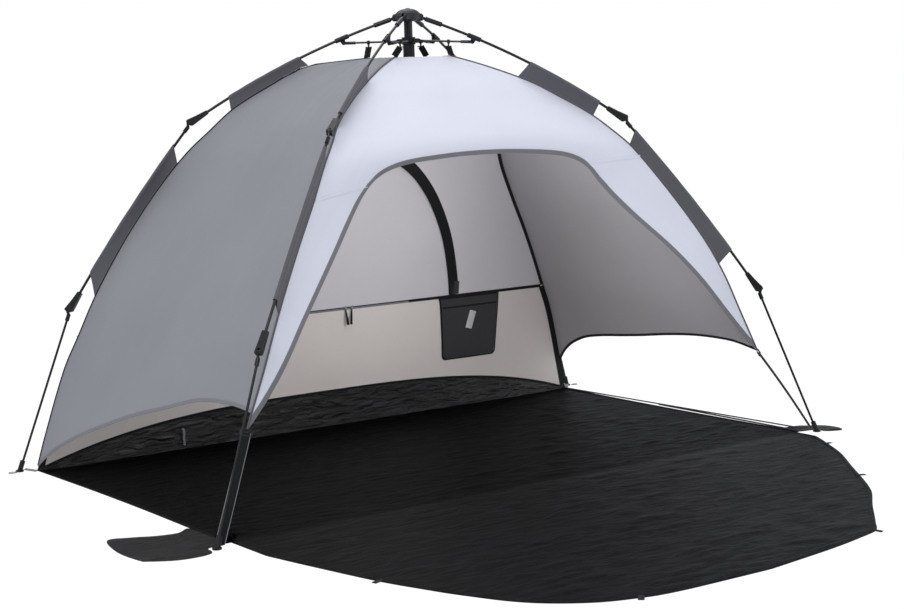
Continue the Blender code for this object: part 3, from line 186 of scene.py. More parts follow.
def smooth_step(value: float) -> float:
    """Eases 0 to 1."""
    value = min(max(value, 0.0), 1.0)
    return value * value * (3 - 2 * value)


def ripple(x: float, y: float, seed: float) -> float:
    """Returns smooth noise from -1 to 1 at a place on a cloth."""
    return noise.noise(Vector((x, y, seed)))


def axes_along(direction: Vector, normal: Vector) -> tuple[Vector, Vector, Vector]:
    """Returns unit axes along the direction, across it on the normal's side, and the third."""
    along = direction.normalized()
    across = (normal - along * along.dot(normal)).normalized()
    return along, across, along.cross(across)


class End(Enum):
    """The end of the tent that a leg stands at."""

    FRONT = "front"
    BACK = "back"


class Side(Enum):
    """The side of the tent, for someone who looks in through the door."""

    LEFT = "left"
    RIGHT = "right"


class Edge(Enum):
    """An edge of a cloth's grid."""

    TOP = "top"
    BOTTOM = "bottom"
    LEFT = "left"
    RIGHT = "right"


# ---------------------------------------------------------------- finishes


def add_node(
    tree: bpy.types.NodeTree, kind: str, values: dict[str | int, object] | None = None,
    **settings: object
) -> bpy.types.Node:
    """Adds a node to a tree.

    Args:
        tree: The tree.
        kind: The node's type.
        values: Input name or number to a value, or to an output that is linked to it.
        settings: Attributes of the node.

    Returns:
        The node.
    """
    node = tree.nodes.new(kind)
    for name, value in settings.items():
        setattr(node, name, value)
    for name, value in (values or {}).items():
        if isinstance(value, Socket):
            tree.links.new(value, node.inputs[name])
        else:
            node.inputs[name].default_value = value
    return node


class Tree:
    """A small helper that adds nodes to one material."""

    def __init__(self, name: str) -> None:
        """Starts a material with its shader and the two places that a pattern can be read at."""
        self.material = bpy.data.materials.new(name)
        self.material.use_nodes = True
        self.tree = self.material.node_tree
        self.shader = self.tree.nodes["Principled BSDF"]
        places = self.add("TexCoord").outputs
        self.uv, self.place = places["UV"], places["Object"]

    def add(self, kind: str, *values: dict[str | int, object], **settings: object) -> bpy.types.Node:
        """Adds a node of a type that is given without its ShaderNode prefix."""
        return add_node(self.tree, f"ShaderNode{kind}", *values, **settings)

    def noise(
        self, scale: float, detail: float, at: Socket | None = None, roughness: float = 0.5,
        distortion: float = 0.0, **settings: object
    ) -> Socket:
        """Adds a noise.

        Args:
            scale: Its scale.
            detail: How many finer layers it has.
            at: Where it is read, on the object unless given.
            roughness: How strong the finer layers are.
            distortion: How much it is warped.
            settings: Attributes of the node.

        Returns:
            Its strength.
        """
        values = {"Vector": self.place if at is None else at, "Scale": scale, "Detail": detail,
                  "Roughness": roughness, "Distortion": distortion}
        return self.add("TexNoise", values, **settings).outputs["Fac"]

    def stretched(self, scale: Sequence[float]) -> Socket:
        """Returns the place on the object, scaled along each axis."""
        return self.add("Mapping", {"Vector": self.place, "Scale": scale}).outputs["Vector"]

    def weave(self, across: dict[str, float], along: dict[str, float]) -> Socket:
        """Returns the height of two crossed sets of threads, each given as a wave's inputs."""
        waves = [self.add("TexWave", {"Vector": self.uv, **values}, bands_direction=way)
                 for values, way in ((across, "X"), (along, "Y"))]
        both = {k: wave.outputs["Fac"] for k, wave in enumerate(waves)}
        return self.add("Math", both, operation="ADD").outputs["Value"]

    def spread(
        self, value: Socket, low: float, high: float, start: float = 0.0, stop: float = 1.0
    ) -> Socket:
        """Returns a value that runs from start to stop as one that runs from low to high."""
        ends = {"From Min": start, "From Max": stop, "To Min": low, "To Max": high}
        return self.add("MapRange", {"Value": value, **ends}).outputs["Result"]

    def paint(self, share: object, first: object, second: object, way: str = "MIX") -> Socket:
        """Colours the shader by two colours mixed in a way, and returns the mixture."""
        mix = self.add("Mix", {"Factor": share, 6: first, 7: second}, data_type="RGBA",
                       blend_type=way).outputs[2]
        self.link(mix, "Base Color")
        return mix

    def relief(self, *layers: tuple[Socket, float, float]) -> None:
        """Stacks bumps on the shader, coarse ones first: height, strength and distance of each."""
        below: dict[str, Socket] = {}
        for height, strength, distance in layers:
            values = {"Height": height, "Strength": strength, "Distance": distance, **below}
            below = {"Normal": self.add("Bump", values).outputs["Normal"]}
        self.link(below["Normal"], "Normal")

    def link(self, output: Socket, name: str) -> None:
        """Links an output to one of the shader's inputs."""
        self.tree.links.new(output, self.shader.inputs[name])

    def shade(self, **values: object) -> None:
        """Sets the shader's own sockets; underscores stand for spaces."""
        for name, value in values.items():
            self.shader.inputs[name.replace("_", " ")].default_value = value


@dataclass(frozen=True)
class CoatedPolyester:
    """Plain-woven tent polyester with a coating inside.

    The weave gives a dry, even surface whose only relief is soft tension creases, with a very
    slight sheen at grazing angles.
    """

    name: str
    colour: str
    shadow: str
    thread_mm: float = 2.2
    crease_mm: float = 1.2
    roughness: float = 0.78

    def build(self) -> Finish:
        """Makes the material.

        Returns:
            A weave on the cloth's own UV map, with creases and a faint unevenness of dye.
        """
        t = Tree(self.name)
        # Real threads lie about 0.2 mm apart, too fine to show, so they are drawn ten times coarser.
        thread = {"Scale": 314 / self.thread_mm, "Distortion": 0.6, "Detail": 1.0,
                  "Detail Scale": 2.0}
        dye = t.spread(t.noise(2.3, 3.0), 0.0, 1.0, 0.25, 0.75)
        speck = t.spread(t.noise(420.0, 2.0), 0.94, 1.04)
        t.paint(1.0, t.paint(dye, linear(self.shadow), linear(self.colour)), speck, "MULTIPLY")
        t.relief((t.noise(7.0, 5.0, None, 0.55, 0.4), 0.35, self.crease_mm * 0.004),
                 (t.weave(thread, thread), 0.12, 0.0002))
        t.shade(Roughness=self.roughness, Sheen_Weight=0.12, Sheen_Roughness=0.5, IOR=1.46,
                Specular_IOR_Level=0.28)
        return t.material


@dataclass(frozen=True)
class WovenPolyethylene:
    """Black woven polyethylene groundsheet.

    A plasticky film over a tape weave: it is near black, crinkles finely, and the crinkles catch
    soft grey highlights.
    """

    name: str = "woven_polyethylene_black"
    colour: str = "#0D0E10"
    crinkle_mm: float = 2.1
    gloss: float = 0.12

    def build(self) -> Finish:
        """Makes the material.

        Returns:
            A dark sheet with two sizes of crinkle and a tape weave, with painted shade in the hollows
            of the coarse crinkles.
        """
        t = Tree(self.name)
        wide = t.stretched((0.55, 1.7, 2.4))
        coarse = t.noise(17.0, 7.0, wide, 0.62, 1.1)
        ridge = t.noise(21.0, 5.0, wide, 0.55, noise_type="RIDGED_MULTIFRACTAL")
        lines = t.noise(1.0, 3.0, t.stretched((2.5, 110.0, 1.0)))
        # Painted shade: the hollows of the coarse crinkles are painted #060607, and the crests keep the
        # sheet's own colour.
        t.paint(t.spread(coarse, 0.0, 1.0, 0.35, 0.7), linear("#060607"), linear(self.colour))
        t.link(t.spread(coarse, 0.52, 0.32), "Roughness")
        t.relief((coarse, 0.7, self.crinkle_mm * 0.006), (ridge, 0.6, self.crinkle_mm * 0.0011),
                 (lines, 0.30, 0.0012))
        t.shade(IOR=1.0 + self.gloss, Specular_IOR_Level=0.5)
        return t.material


@dataclass(frozen=True)
class Webbing:
    """Woven nylon tape: ribs across its width every 2 mm, dull, with paler worn threads."""

    name: str
    colour: str
    rib_mm: float = 2.2

    def build(self) -> Finish:
        """Makes the material.

        Returns:
            Ribs that follow the tape's UV map along its length.
        """
        t = Tree(self.name)
        height = t.weave({"Scale": 157 / self.rib_mm},
                         {"Scale": 314 / self.rib_mm, "Distortion": 0.4})
        tone = t.spread(t.noise(900.0, 2.0, t.uv), 0.8, 1.25)
        t.paint(1.0, linear(self.colour), tone, "MULTIPLY")
        t.relief((height, 0.4, 0.0006))
        t.shade(Roughness=0.82, Sheen_Weight=0.05, Specular_IOR_Level=0.25)
        return t.material


@dataclass(frozen=True)
class MouldedNylon:
    """Injection-moulded black nylon: fine spark-eroded grain, a soft wide highlight."""

    name: str
    colour: str
    roughness: float = 0.42

    def build(self) -> Finish:
        """Makes the material.

        Returns:
            A grained plastic with slight scuffs.
        """
        t = Tree(self.name)
        scuff = t.noise(60.0, 4.0)
        t.link(t.spread(scuff, self.roughness - 0.06, self.roughness + 0.1, 0.3, 0.7), "Roughness")
        t.paint(1.0, linear(self.colour), t.spread(scuff, 0.85, 1.2), "MULTIPLY")
        t.relief((t.noise(1400.0, 2.0), 0.25, 0.0002))
        t.shade(IOR=1.53, Specular_IOR_Level=0.28)
        return t.material


@dataclass(frozen=True)
class CoatedTube:
    """Powder-coated steel or fibreglass tube: satin black with a long narrow highlight."""

    name: str = "powder_coated_tube_black"
    colour: str = "#0B0C0E"
    roughness: float = 0.25

    def build(self) -> Finish:
        """Makes the material.

        Returns:
            A satin coat with a faint orange peel.
        """
        t = Tree(self.name)
        t.relief((t.noise(700.0, 2.0), 0.1, 0.0002))
        rough = t.spread(t.noise(35.0, 3.0), self.roughness - 0.05, self.roughness + 0.12)
        t.link(rough, "Roughness")
        t.shade(Base_Color=linear(self.colour), Coat_Weight=0.3, Coat_Roughness=0.07,
                Specular_IOR_Level=0.25)
        return t.material


@dataclass(frozen=True)
class KnitMesh:
    """Black warp-knit mesh: small holes between dark threads, drawn by its tone and relief."""

    name: str = "knit_mesh_black"
    colour: str = "#3B393C"

    def build(self) -> Finish:
        """Makes the material.

        Returns:
            A hexagonal net of 3 mm cells, dark in the holes.
        """
        t = Tree(self.name)
        cells = t.add("TexVoronoi", {"Vector": t.uv, "Scale": 330.0, "Randomness": 0.15},
                      feature="DISTANCE_TO_EDGE")
        net = t.spread(cells.outputs["Distance"], 1.0, 0.0, 0.04, 0.3)
        t.paint(net, linear("#2A292B"), linear(self.colour))
        t.relief((net, 0.3, 0.0005))
        t.shade(Roughness=0.85, Sheen_Weight=0.15)
        return t.material


@dataclass(frozen=True)
class BentWire:
    """Nickel-plated steel wire, as in a ring or a zip slider: bright and smooth."""

    name: str = "nickel_plated_wire"
    colour: str = "#9A9C9F"

    def build(self) -> Finish:
        """Makes the material.

        Returns:
            A plain polished metal with faint drawing marks.
        """
        t = Tree(self.name)
        t.link(t.spread(t.noise(500.0, 2.0), 0.22, 0.36), "Roughness")
        t.shade(Base_Color=linear(self.colour), Metallic=1.0)
        return t.material


Recipe = (CoatedPolyester | WovenPolyethylene | Webbing | MouldedNylon | CoatedTube | KnitMesh
          | BentWire)


def built(recipe: Recipe) -> Finish:
    """Returns a dataclass field that holds a recipe's finish, built with the class."""
    return field(default_factory=recipe.build)


@dataclass(frozen=True)
class Finishes:
    """Every finish on the tent, each built once."""

    white: Finish = built(CoatedPolyester("coated_polyester_white", "#E3E5F1", "#DADCE9"))
    grey: Finish = built(CoatedPolyester("coated_polyester_silver_grey", "#909197", "#87888E"))
    lining: Finish = built(CoatedPolyester("coating_warm_grey", "#A6A3A7", "#9F9CA0",
                                           roughness=0.6))
    back: Finish = built(CoatedPolyester("coated_polyester_pale_grey", "#CFCCD1", "#C8C5CA"))
    beige: Finish = built(CoatedPolyester("coated_polyester_beige", "#DDD6D2", "#D6CFCB"))
    sleeve: Finish = built(CoatedPolyester("polyester_pole_sleeve_grey", "#605F66", "#525157",
                                           thread_mm=1.6))
    binding: Finish = built(Webbing("binding_tape_grey", "#76777C"))
    hem_tape: Finish = built(Webbing("hem_tape_grey", "#7E7F84"))
    black_tape: Finish = built(Webbing("binding_tape_black", "#17181A"))
    webbing: Finish = built(Webbing("nylon_webbing_black", "#0F1011"))
    thread: Finish = built(Webbing("sewing_thread_grey", "#8F9096", rib_mm=0.8))
    white_thread: Finish = built(Webbing("sewing_thread_white", "#D5D7E2", rib_mm=0.8))
    hem_sheet: Finish = built(WovenPolyethylene("woven_polyethylene_hem", "#151618"))
    door: Finish = built(WovenPolyethylene())
    # The floor is a darker copy of the door's sheet: its darker colour is painted shade from the canopy
    # above it, and its gloss is lower too.
    ground: Finish = built(WovenPolyethylene("woven_polyethylene_floor_painted_shade", "#08090A", gloss=0.08))
    sill: Finish = built(WovenPolyethylene("woven_polyethylene_sill", crinkle_mm=4.6, gloss=0.85))
    sand: Finish = built(WovenPolyethylene("woven_polyethylene_flap", "#1B1C1E", gloss=0.24))
    nylon: Finish = built(MouldedNylon("moulded_nylon_black", "#141517"))
    dome: Finish = built(MouldedNylon("moulded_nylon_charcoal", "#26272A", 0.36))
    tube: Finish = built(CoatedTube())
    mesh: Finish = built(KnitMesh())
    wire: Finish = built(BentWire())
    tag: Finish = built(Webbing("woven_tab_pale_grey", "#C6C6C8"))


# ---------------------------------------------------------------- meshes


def piece(
    name: str, points: Sequence[Vector], faces: Sequence[Sequence[int]],
    materials: Sequence[Finish], body: str
) -> Made:
    """Makes a mesh object in the row frame and rides it on a body.

    Args:
        name: The piece's name.
        points: Corners in metres.
        faces: Corner numbers of each face.
        materials: The finishes, the first for every face until it is changed.
        body: The body it moves with.

    Returns:
        The object.
    """
    mesh = bpy.data.meshes.new(name)
    mesh.from_pydata([tuple(p) for p in points], [], [tuple(f) for f in faces])
    for finish in materials:
        mesh.materials.append(finish)
    shape = bmesh.new()
    shape.from_mesh(mesh)
    bmesh.ops.recalc_face_normals(shape, faces=shape.faces)
    shape.to_mesh(mesh)
    shape.free()
    mesh.shade_smooth()
    mesh.set_sharp_from_angle(angle=math.radians(SHARP_ANGLE))
    return placed(name, mesh, body)


def linked(name: str, data: bpy.types.ID) -> Made:
    """Makes an object of a mesh, a lamp or a camera, and puts it into the scene."""
    made = bpy.data.objects.new(name, data)
    bpy.context.scene.collection.objects.link(made)
    return made


def placed(name: str, mesh: bpy.types.Mesh, body: str) -> Made:
    """Puts a mesh into the scene as a piece that rides on a body."""
    made = linked(name, mesh)
    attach(made, body)
    LOG.info("%s rides on %s", name, body)
    return made


def loft_faces(sides: int, count: int) -> list[tuple[int, ...]]:
    """Returns the faces that join a row of closed outlines into one closed solid."""
    faces = [(i * sides + j, i * sides + (j + 1) % sides,
              (i + 1) * sides + (j + 1) % sides, (i + 1) * sides + j)
             for i in range(count - 1) for j in range(sides)]
    ends = (tuple(reversed(range(sides))), tuple(range((count - 1) * sides, count * sides)))
    return [*faces, *ends]


def each(vectors: Vector | Sequence[Vector], count: int) -> Sequence[Vector]:
    """Returns a vector for each of several places, the same one if only one is given."""
    return [vectors] * count if isinstance(vectors, Vector) else vectors


def map_tape(made: Made, across: Sequence[float], line: Sequence[Vector]) -> None:
    """Gives a swept tape a UV map in metres, across its outline and along its line.

    Args:
        made: The tape.
        across: The place across the tape of each point of its outline.
        line: The path that it was swept along.
    """
    runs = [0.0]
    for a, b in zip(line, line[1:]):
        runs.append(runs[-1] + (b - a).length)
    layer = made.data.uv_layers.new(name="tape")
    for loop in made.data.loops:
        along, side = divmod(loop.vertex_index, len(across))
        layer.data[loop.index].uv = (across[side], runs[along])


def tube_mesh(
    centres: Sequence[Vector], normals: Vector | Sequence[Vector],
    outlines: Sequence[Sequence[tuple[float, float]]], skew: bool = False
) -> Shell:
    """Sweeps closed outlines along a path.

    Args:
        centres: The path.
        normals: The first axis of the outline at each centre.
        outlines: Offsets along the first axis and the third, one outline for each centre.
        skew: Keeps each first axis on its normal even where that isn't square to the path.

    Returns:
        The corners and faces of a closed solid.
    """
    points: list[Vector] = []
    count = len(centres)
    normals = each(normals, count)
    for i, centre in enumerate(centres):
        ahead = centres[min(i + 1, count - 1)] - centres[max(i - 1, 0)]
        _, across, third = axes_along(ahead, normals[i])
        if skew:
            across = normals[i].normalized()
        points += [centre + across * a + third * b for a, b in outlines[i]]
    return points, loft_faces(len(outlines[0]), count)


def ring(radius: float, sides: int = 20) -> list[tuple[float, float]]:
    """Returns a circle's offsets."""
    turns = [2 * math.pi * j / sides for j in range(sides)]
    return [(radius * math.cos(a), radius * math.sin(a)) for a in turns]


def box(wide: float, tall: float) -> list[tuple[float, float]]:
    """Returns the offsets of a rectangle's corners, from its half sizes."""
    return [(-wide, -tall), (wide, -tall), (wide, tall), (-wide, tall)]


def merged(parts: Sequence[Shell]) -> Shell:
    """Puts several closed shells into one list of corners and faces.

    Args:
        parts: The shells.

    Returns:
        Corners and faces of them all.
    """
    points: list[Vector] = []
    faces: list[tuple[int, ...]] = []
    for some, theirs in parts:
        start = len(points)
        points += some
        faces += [tuple(start + i for i in f) for f in theirs]
    return points, faces


def rod_mesh(start: Vector, end: Vector, radius: float, round_end: float) -> Shell:
    """Returns a twelve-sided rod whose ends are rounded over a length.

    Args:
        start: One end.
        end: The other end.
        radius: Its radius.
        round_end: How far its ends are rounded.

    Returns:
        Corners and faces.
    """
    along = (end - start).normalized()
    side = UP if abs(along.dot(UP)) < 0.9 else RIGHTWARD
    turns = [math.pi / 2 * k / 3 for k in (3, 2, 1, 0)]
    steps = [(round_end * (1 - math.sin(a)), radius - round_end * (1 - math.cos(a))) for a in turns]
    centres = [start + along * s for s, _ in steps] + [end - along * s for s, _ in steps[::-1]]
    return tube_mesh(centres, side, [ring(r, 12) for _, r in steps + steps[::-1]])


def grid_of(rows: int, columns: int, point: Callable[[int, int], Vector]) -> Grid:
    """Returns a grid of points, each worked out from the numbers of its row and column."""
    return [[point(i, j) for j in range(columns + 1)] for i in range(rows + 1)]


def surface_normals(grid: Grid, away: Callable[[Vector], Vector]) -> Grid:
    """Returns the unit normal at each point of a grid, on the side that away points to.

    Args:
        grid: The points.
        away: The outer side at a point.

    Returns:
        The normals, in rows as the points are.
    """
    rows, columns = len(grid) - 1, len(grid[0]) - 1

    def normal_at(i: int, j: int) -> Vector:
        """Returns the normal at one point, from its neighbours."""
        down = grid[min(i + 1, rows)][j] - grid[max(i - 1, 0)][j]
        along = grid[i][min(j + 1, columns)] - grid[i][max(j - 1, 0)]
        normal, side = down.cross(along), away(grid[i][j])
        normal = normal.normalized() if normal.length > 1e-12 else side
        return normal if normal.dot(side) > 0 else -normal

    return grid_of(rows, columns, normal_at)


@dataclass
class Cloth:
    """A sheet of cloth from a grid of points, with its normals and real flat size."""

    name: str
    grid: Grid
    away: Callable[[Vector], Vector]
    thickness: float = 0.0008
    normals: Grid = field(init=False)

    def __post_init__(self) -> None:
        """Works out the normals."""
        self.normals = surface_normals(self.grid, self.away)

    def wrinkle(self, depth: Callable[[float, float], float]) -> None:
        """Moves each point along its normal by a depth that depends on its place."""
        rows, columns = len(self.grid), len(self.grid[0])
        for i in range(rows):
            for j in range(columns):
                move = depth(j / (columns - 1), i / (rows - 1))
                self.grid[i][j] = self.grid[i][j] + self.normals[i][j] * move
        self.normals = surface_normals(self.grid, self.away)

    def place_at(self, i: float, j: float) -> tuple[Vector, Vector]:
        """Returns the point and normal between the grid's points.

        Args:
            i: The row, whole or not, held within the grid.
            j: The column, whole or not, held within the grid.

        Returns:
            The point on the outer face and the unit normal.
        """
        i = min(max(i, 0.0), len(self.grid) - 1.0)
        j = min(max(j, 0.0), len(self.grid[0]) - 1.0)
        a, b = min(int(i), len(self.grid) - 2), min(int(j), len(self.grid[0]) - 2)
        found = []
        for field_ in (self.grid, self.normals):
            top = field_[a][b].lerp(field_[a][b + 1], j - b)
            low = field_[a + 1][b].lerp(field_[a + 1][b + 1], j - b)
            found.append(top.lerp(low, i - a))
        return found[0], found[1].normalized()

    def edge_lines(self, edge: Edge, distances: Sequence[float]) -> list[list[tuple[Vector, Vector]]]:
        """Returns points and normals on the cloth at distances from one of its edges.

        Args:
            edge: The edge.
            distances: In metres, square to the edge.

        Returns:
            For each place along the edge, a (point, normal) for each distance.
        """
        rows, columns = len(self.grid), len(self.grid[0])
        level = edge in (Edge.TOP, Edge.BOTTOM)
        far = edge in (Edge.BOTTOM, Edge.RIGHT)
        sign = -1 if far else 1
        found = []
        for k in range(columns if level else rows):
            i = (rows - 1 if far else 0) if level else k
            j = k if level else (columns - 1 if far else 0)
            low, high = max(i - 1, 0), min(i + 1, rows - 1)
            down = (self.grid[high][j] - self.grid[low][j]) / (high - low)
            low, high = max(j - 1, 0), min(j + 1, columns - 1)
            right = (self.grid[i][high] - self.grid[i][low]) / (high - low)
            along, inward = (right, down * sign) if level else (down, right * sign)
            way = along.normalized()
            slide = inward.dot(way)
            reach = max((inward - way * slide).length, 1e-4)
            line = []
            for distance in distances:
                steps = distance / reach
                shift = -slide * steps / max(along.length, 1e-4)
                if level:
                    line.append(self.place_at(i + sign * steps, j + shift))
                else:
                    line.append(self.place_at(i + shift, j + sign * steps))
            found.append(line)
        return found

    def band(
        self, name: str, edge: Edge, width: float, finish: Finish, body: str,
        outside: float = 0.0005, inside: float = 0.0005
    ) -> Made:
        """Folds a tape over an edge, lying on both faces of the cloth.

        Args:
            name: The piece's name.
            edge: The edge that is bound.
            width: Of each half of the tape.
            finish: Its material.
            body: The body it moves with.
            outside: How far it stands off the outer face; negative hides it.
            inside: How far it stands off the inner face.

        Returns:
            The tape's object.
        """
        stops = [width * k / 4 for k in range(5)]
        lines = self.edge_lines(edge, stops)
        points: list[Vector] = []
        for line in lines:
            edge_out = (line[0][0] - line[1][0]).normalized() * 0.0006
            points += [p + n * outside for p, n in reversed(line)]
            points.append(line[0][0] + edge_out - line[0][1] * (self.thickness / 2))
            points += [p - n * (self.thickness + inside) for p, n in line]
        sides = 2 * len(stops) + 1
        made = piece(name, points, loft_faces(sides, len(lines)), (finish,), body)
        map_tape(made, [width * k / sides for k in range(sides)], [line[0][0] for line in lines])
        return made

    def edge_path(self, edge: Edge, distance: float, gap: float) -> list[Vector]:
        """Returns a path along an edge, off the outer face, or off the inner if gap is negative."""
        found = []
        for ((point, normal),) in self.edge_lines(edge, (distance,)):
            move = gap if gap > 0 else gap - self.thickness
            found.append(point + normal * move)
        return found

    def area(self) -> float:
        """Returns the sheet's area in square metres."""
        total = 0.0
        for i in range(len(self.grid) - 1):
            for j in range(len(self.grid[0]) - 1):
                a, b = self.grid[i][j], self.grid[i][j + 1]
                c, d = self.grid[i + 1][j + 1], self.grid[i + 1][j]
                total += (c - a).cross(d - b).length / 2
        return total

    def flat_size(self) -> tuple[float, float]:
        """Returns the widest row and the longest column, in metres."""
        turned = list(zip(*self.grid))
        wide, long = (max(sum((b - a).length for a, b in zip(line, line[1:])) for line in lines)
                      for lines in (self.grid, turned))
        return wide, long

    def build(
        self, outer: Finish, inner: Finish, body: str
    ) -> Made:
        """Makes the closed sheet, with its own UV map in metres.

        Args:
            outer: The finish outside.
            inner: The finish inside.
            body: The body it moves with.

        Returns:
            The sheet's object.
        """
        rows, columns = len(self.grid), len(self.grid[0])
        front = [p for line in self.grid for p in line]
        back = [
            self.grid[i][j] - self.normals[i][j] * self.thickness
            for i in range(rows) for j in range(columns)
        ]
        count = rows * columns
        faces: list[tuple[int, ...]] = []
        for i in range(rows - 1):
            for a in range(i * columns, (i + 1) * columns - 1):
                b, c, d = a + 1, a + columns + 1, a + columns
                # Each cell starts at its shorter diagonal, so that a twisted one folds inwards.
                if (front[a] - front[c]).length > (front[b] - front[d]).length:
                    a, b, c, d = b, c, d, a
                faces.append((a, b, c, d))
                faces.append((count + c, count + b, count + a, count + d))
        sheets = len(faces)
        rim = list(range(columns))
        rim += [i * columns + columns - 1 for i in range(1, rows)]
        rim += [(rows - 1) * columns + j for j in range(columns - 2, -1, -1)]
        rim += [i * columns for i in range(rows - 2, 0, -1)]
        for j, a in enumerate(rim):
            b = rim[(j + 1) % len(rim)]
            faces.append((b, a, count + a, count + b))
        made = piece(self.name, front + back, faces, (outer, inner), body)
        wide, long = self.flat_size()
        layer = made.data.uv_layers.new(name="cloth")
        for polygon in made.data.polygons:
            if polygon.index < sheets and polygon.index % 2:
                polygon.material_index = 1
            for corner in polygon.loop_indices:
                number = made.data.loops[corner].vertex_index % count
                layer.data[corner].uv = (
                    wide * (number % columns) / (columns - 1),
                    long * (number // columns) / (rows - 1),
                )
        return made


def strip(
    name: str, path: Sequence[Vector], inward: Vector | Sequence[Vector],
    normals: Vector | Sequence[Vector],
    width: float, thickness: float, finish: Finish, body: str, shift: float = 0.0
) -> Made:
    """A flat tape folded over a cloth's edge, or lying on it.

    Args:
        name: The piece's name.
        path: The edge.
        inward: At each point, the way into the cloth.
        normals: At each point, the cloth's normal.
        width: How far the tape reaches into the cloth.
        thickness: How thick the tape is in all, centred on the cloth.
        finish: Its material.
        body: The body it moves with.
        shift: How far the tape is moved along the normal.

    Returns:
        The tape's object.
    """
    half, corner = thickness / 2, thickness * 0.35
    outline = [(-corner, -half * 0.6), (corner, -half), (width - corner, -half),
               (width, -half * 0.5), (width, half * 0.5), (width - corner, half),
               (corner, half), (-corner, half * 0.6)]
    points: list[Vector] = []
    count = len(path)
    inward, normals = each(inward, count), each(normals, count)
    for i, place in enumerate(path):
        tangent = (path[min(i + 1, count - 1)] - path[max(i - 1, 0)]).normalized()
        side = inward[i] - tangent * tangent.dot(inward[i])
        side.normalize()
        out = tangent.cross(side)
        out = out if out.dot(normals[i]) > 0 else -out
        points += [place + side * a + out * (b + shift) for a, b in outline]
    made = piece(name, points, loft_faces(len(outline), count), (finish,), body)
    map_tape(made, [a for a, _ in outline], path)
    return made


class StitchRow:
    """A Geometry Nodes tree that lays stitches along a path."""

    def __init__(self, finish: Finish) -> None:
        """Builds the tree: resample, one rounded stitch at each point, realise, set the finish."""
        tree = bpy.data.node_groups.new(f"stitches_{finish.name}", "GeometryNodeTree")
        face = tree.interface
        face.new_socket("Geometry", in_out="INPUT", socket_type="NodeSocketGeometry")
        self.sizes = [face.new_socket(name, in_out="INPUT", socket_type="NodeSocketFloat").identifier
                      for name in ("Spacing", "Length", "Radius")]
        face.new_socket("Geometry", in_out="OUTPUT", socket_type="NodeSocketGeometry")
        self.tree, self.finish = tree, finish
        given = self.add("NodeGroupInput")
        curve = self.add("GeometryNodeMeshToCurve", {"Mesh": given["Geometry"]})
        points = self.add("GeometryNodeResampleCurve",
                          {"Curve": curve["Curve"], "Length": given["Spacing"]}, mode="LENGTH")
        stitch = self.add("GeometryNodeMeshCylinder",
                          {"Radius": given["Radius"], "Depth": given["Length"], "Vertices": 6})
        tangent = self.add("GeometryNodeInputTangent")
        turn = self.add("FunctionNodeAlignRotationToVector", {"Vector": tangent["Tangent"]},
                        axis="Z")
        row = self.add("GeometryNodeInstanceOnPoints", {
            "Points": points["Curve"], "Instance": stitch["Mesh"], "Rotation": turn["Rotation"]})
        real = self.add("GeometryNodeRealizeInstances", {"Geometry": row["Instances"]})
        dressed = self.add("GeometryNodeSetMaterial",
                           {"Geometry": real["Geometry"], "Material": finish})
        self.add("NodeGroupOutput", {"Geometry": dressed["Geometry"]})

    def add(self, kind: str, *values: dict[str, object], **settings: object) -> bpy.types.NodeOutputs:
        """Adds a node to the tree and returns its outputs."""
        return add_node(self.tree, kind, *values, **settings).outputs

    def sew(
        self, name: str, paths: Sequence[Sequence[Vector]], body: str,
        spacing: float = 0.0055, length: float = 0.0036, radius: float = 0.00045
    ) -> Made:
        """Sews stitches along several paths as one piece.

        Args:
            name: The piece's name.
            paths: The paths, already on the cloth's surface.
            body: The body they move with.
            spacing: From one stitch to the next, in metres.
            length: Of one stitch, in metres.
            radius: Of the thread, drawn a little thicker than the real 0.3 mm so that it shows.

        Returns:
            The stitches' object.
        """
        points: list[tuple[float, ...]] = []
        edges: list[tuple[int, int]] = []
        for path in paths:
            first = len(points)
            points += [tuple(p) for p in path]
            edges += [(first + i, first + i + 1) for i in range(len(path) - 1)]
        mesh = bpy.data.meshes.new(f"{name}_path")
        mesh.from_pydata(points, edges, [])
        made = placed(name, mesh, body)
        change = made.modifiers.new("stitches", "NODES")
        change.node_group = self.tree
        for socket, value in zip(self.sizes, (spacing, length, radius)):
            change[socket] = value
        bpy.context.view_layer.update()
        graph = bpy.context.evaluated_depsgraph_get()
        result = bpy.data.meshes.new_from_object(made.evaluated_get(graph))
        made.modifiers.clear()
        made.data = result
        if not result.materials:
            result.materials.append(self.finish)
        return made


# ---------------------------------------------------------------- the frame


# The elbow and the knee of a leg: shares of the foot's half width, its reach and the hub's height.
PINS = {
    End.FRONT: ((0.4961, 0.5903, 0.7598), (0.8353, 0.9011, 0.3525)),
    End.BACK: ((0.5390, 0.5751, 0.7812), (0.8507, 0.9129, 0.3649)),
}


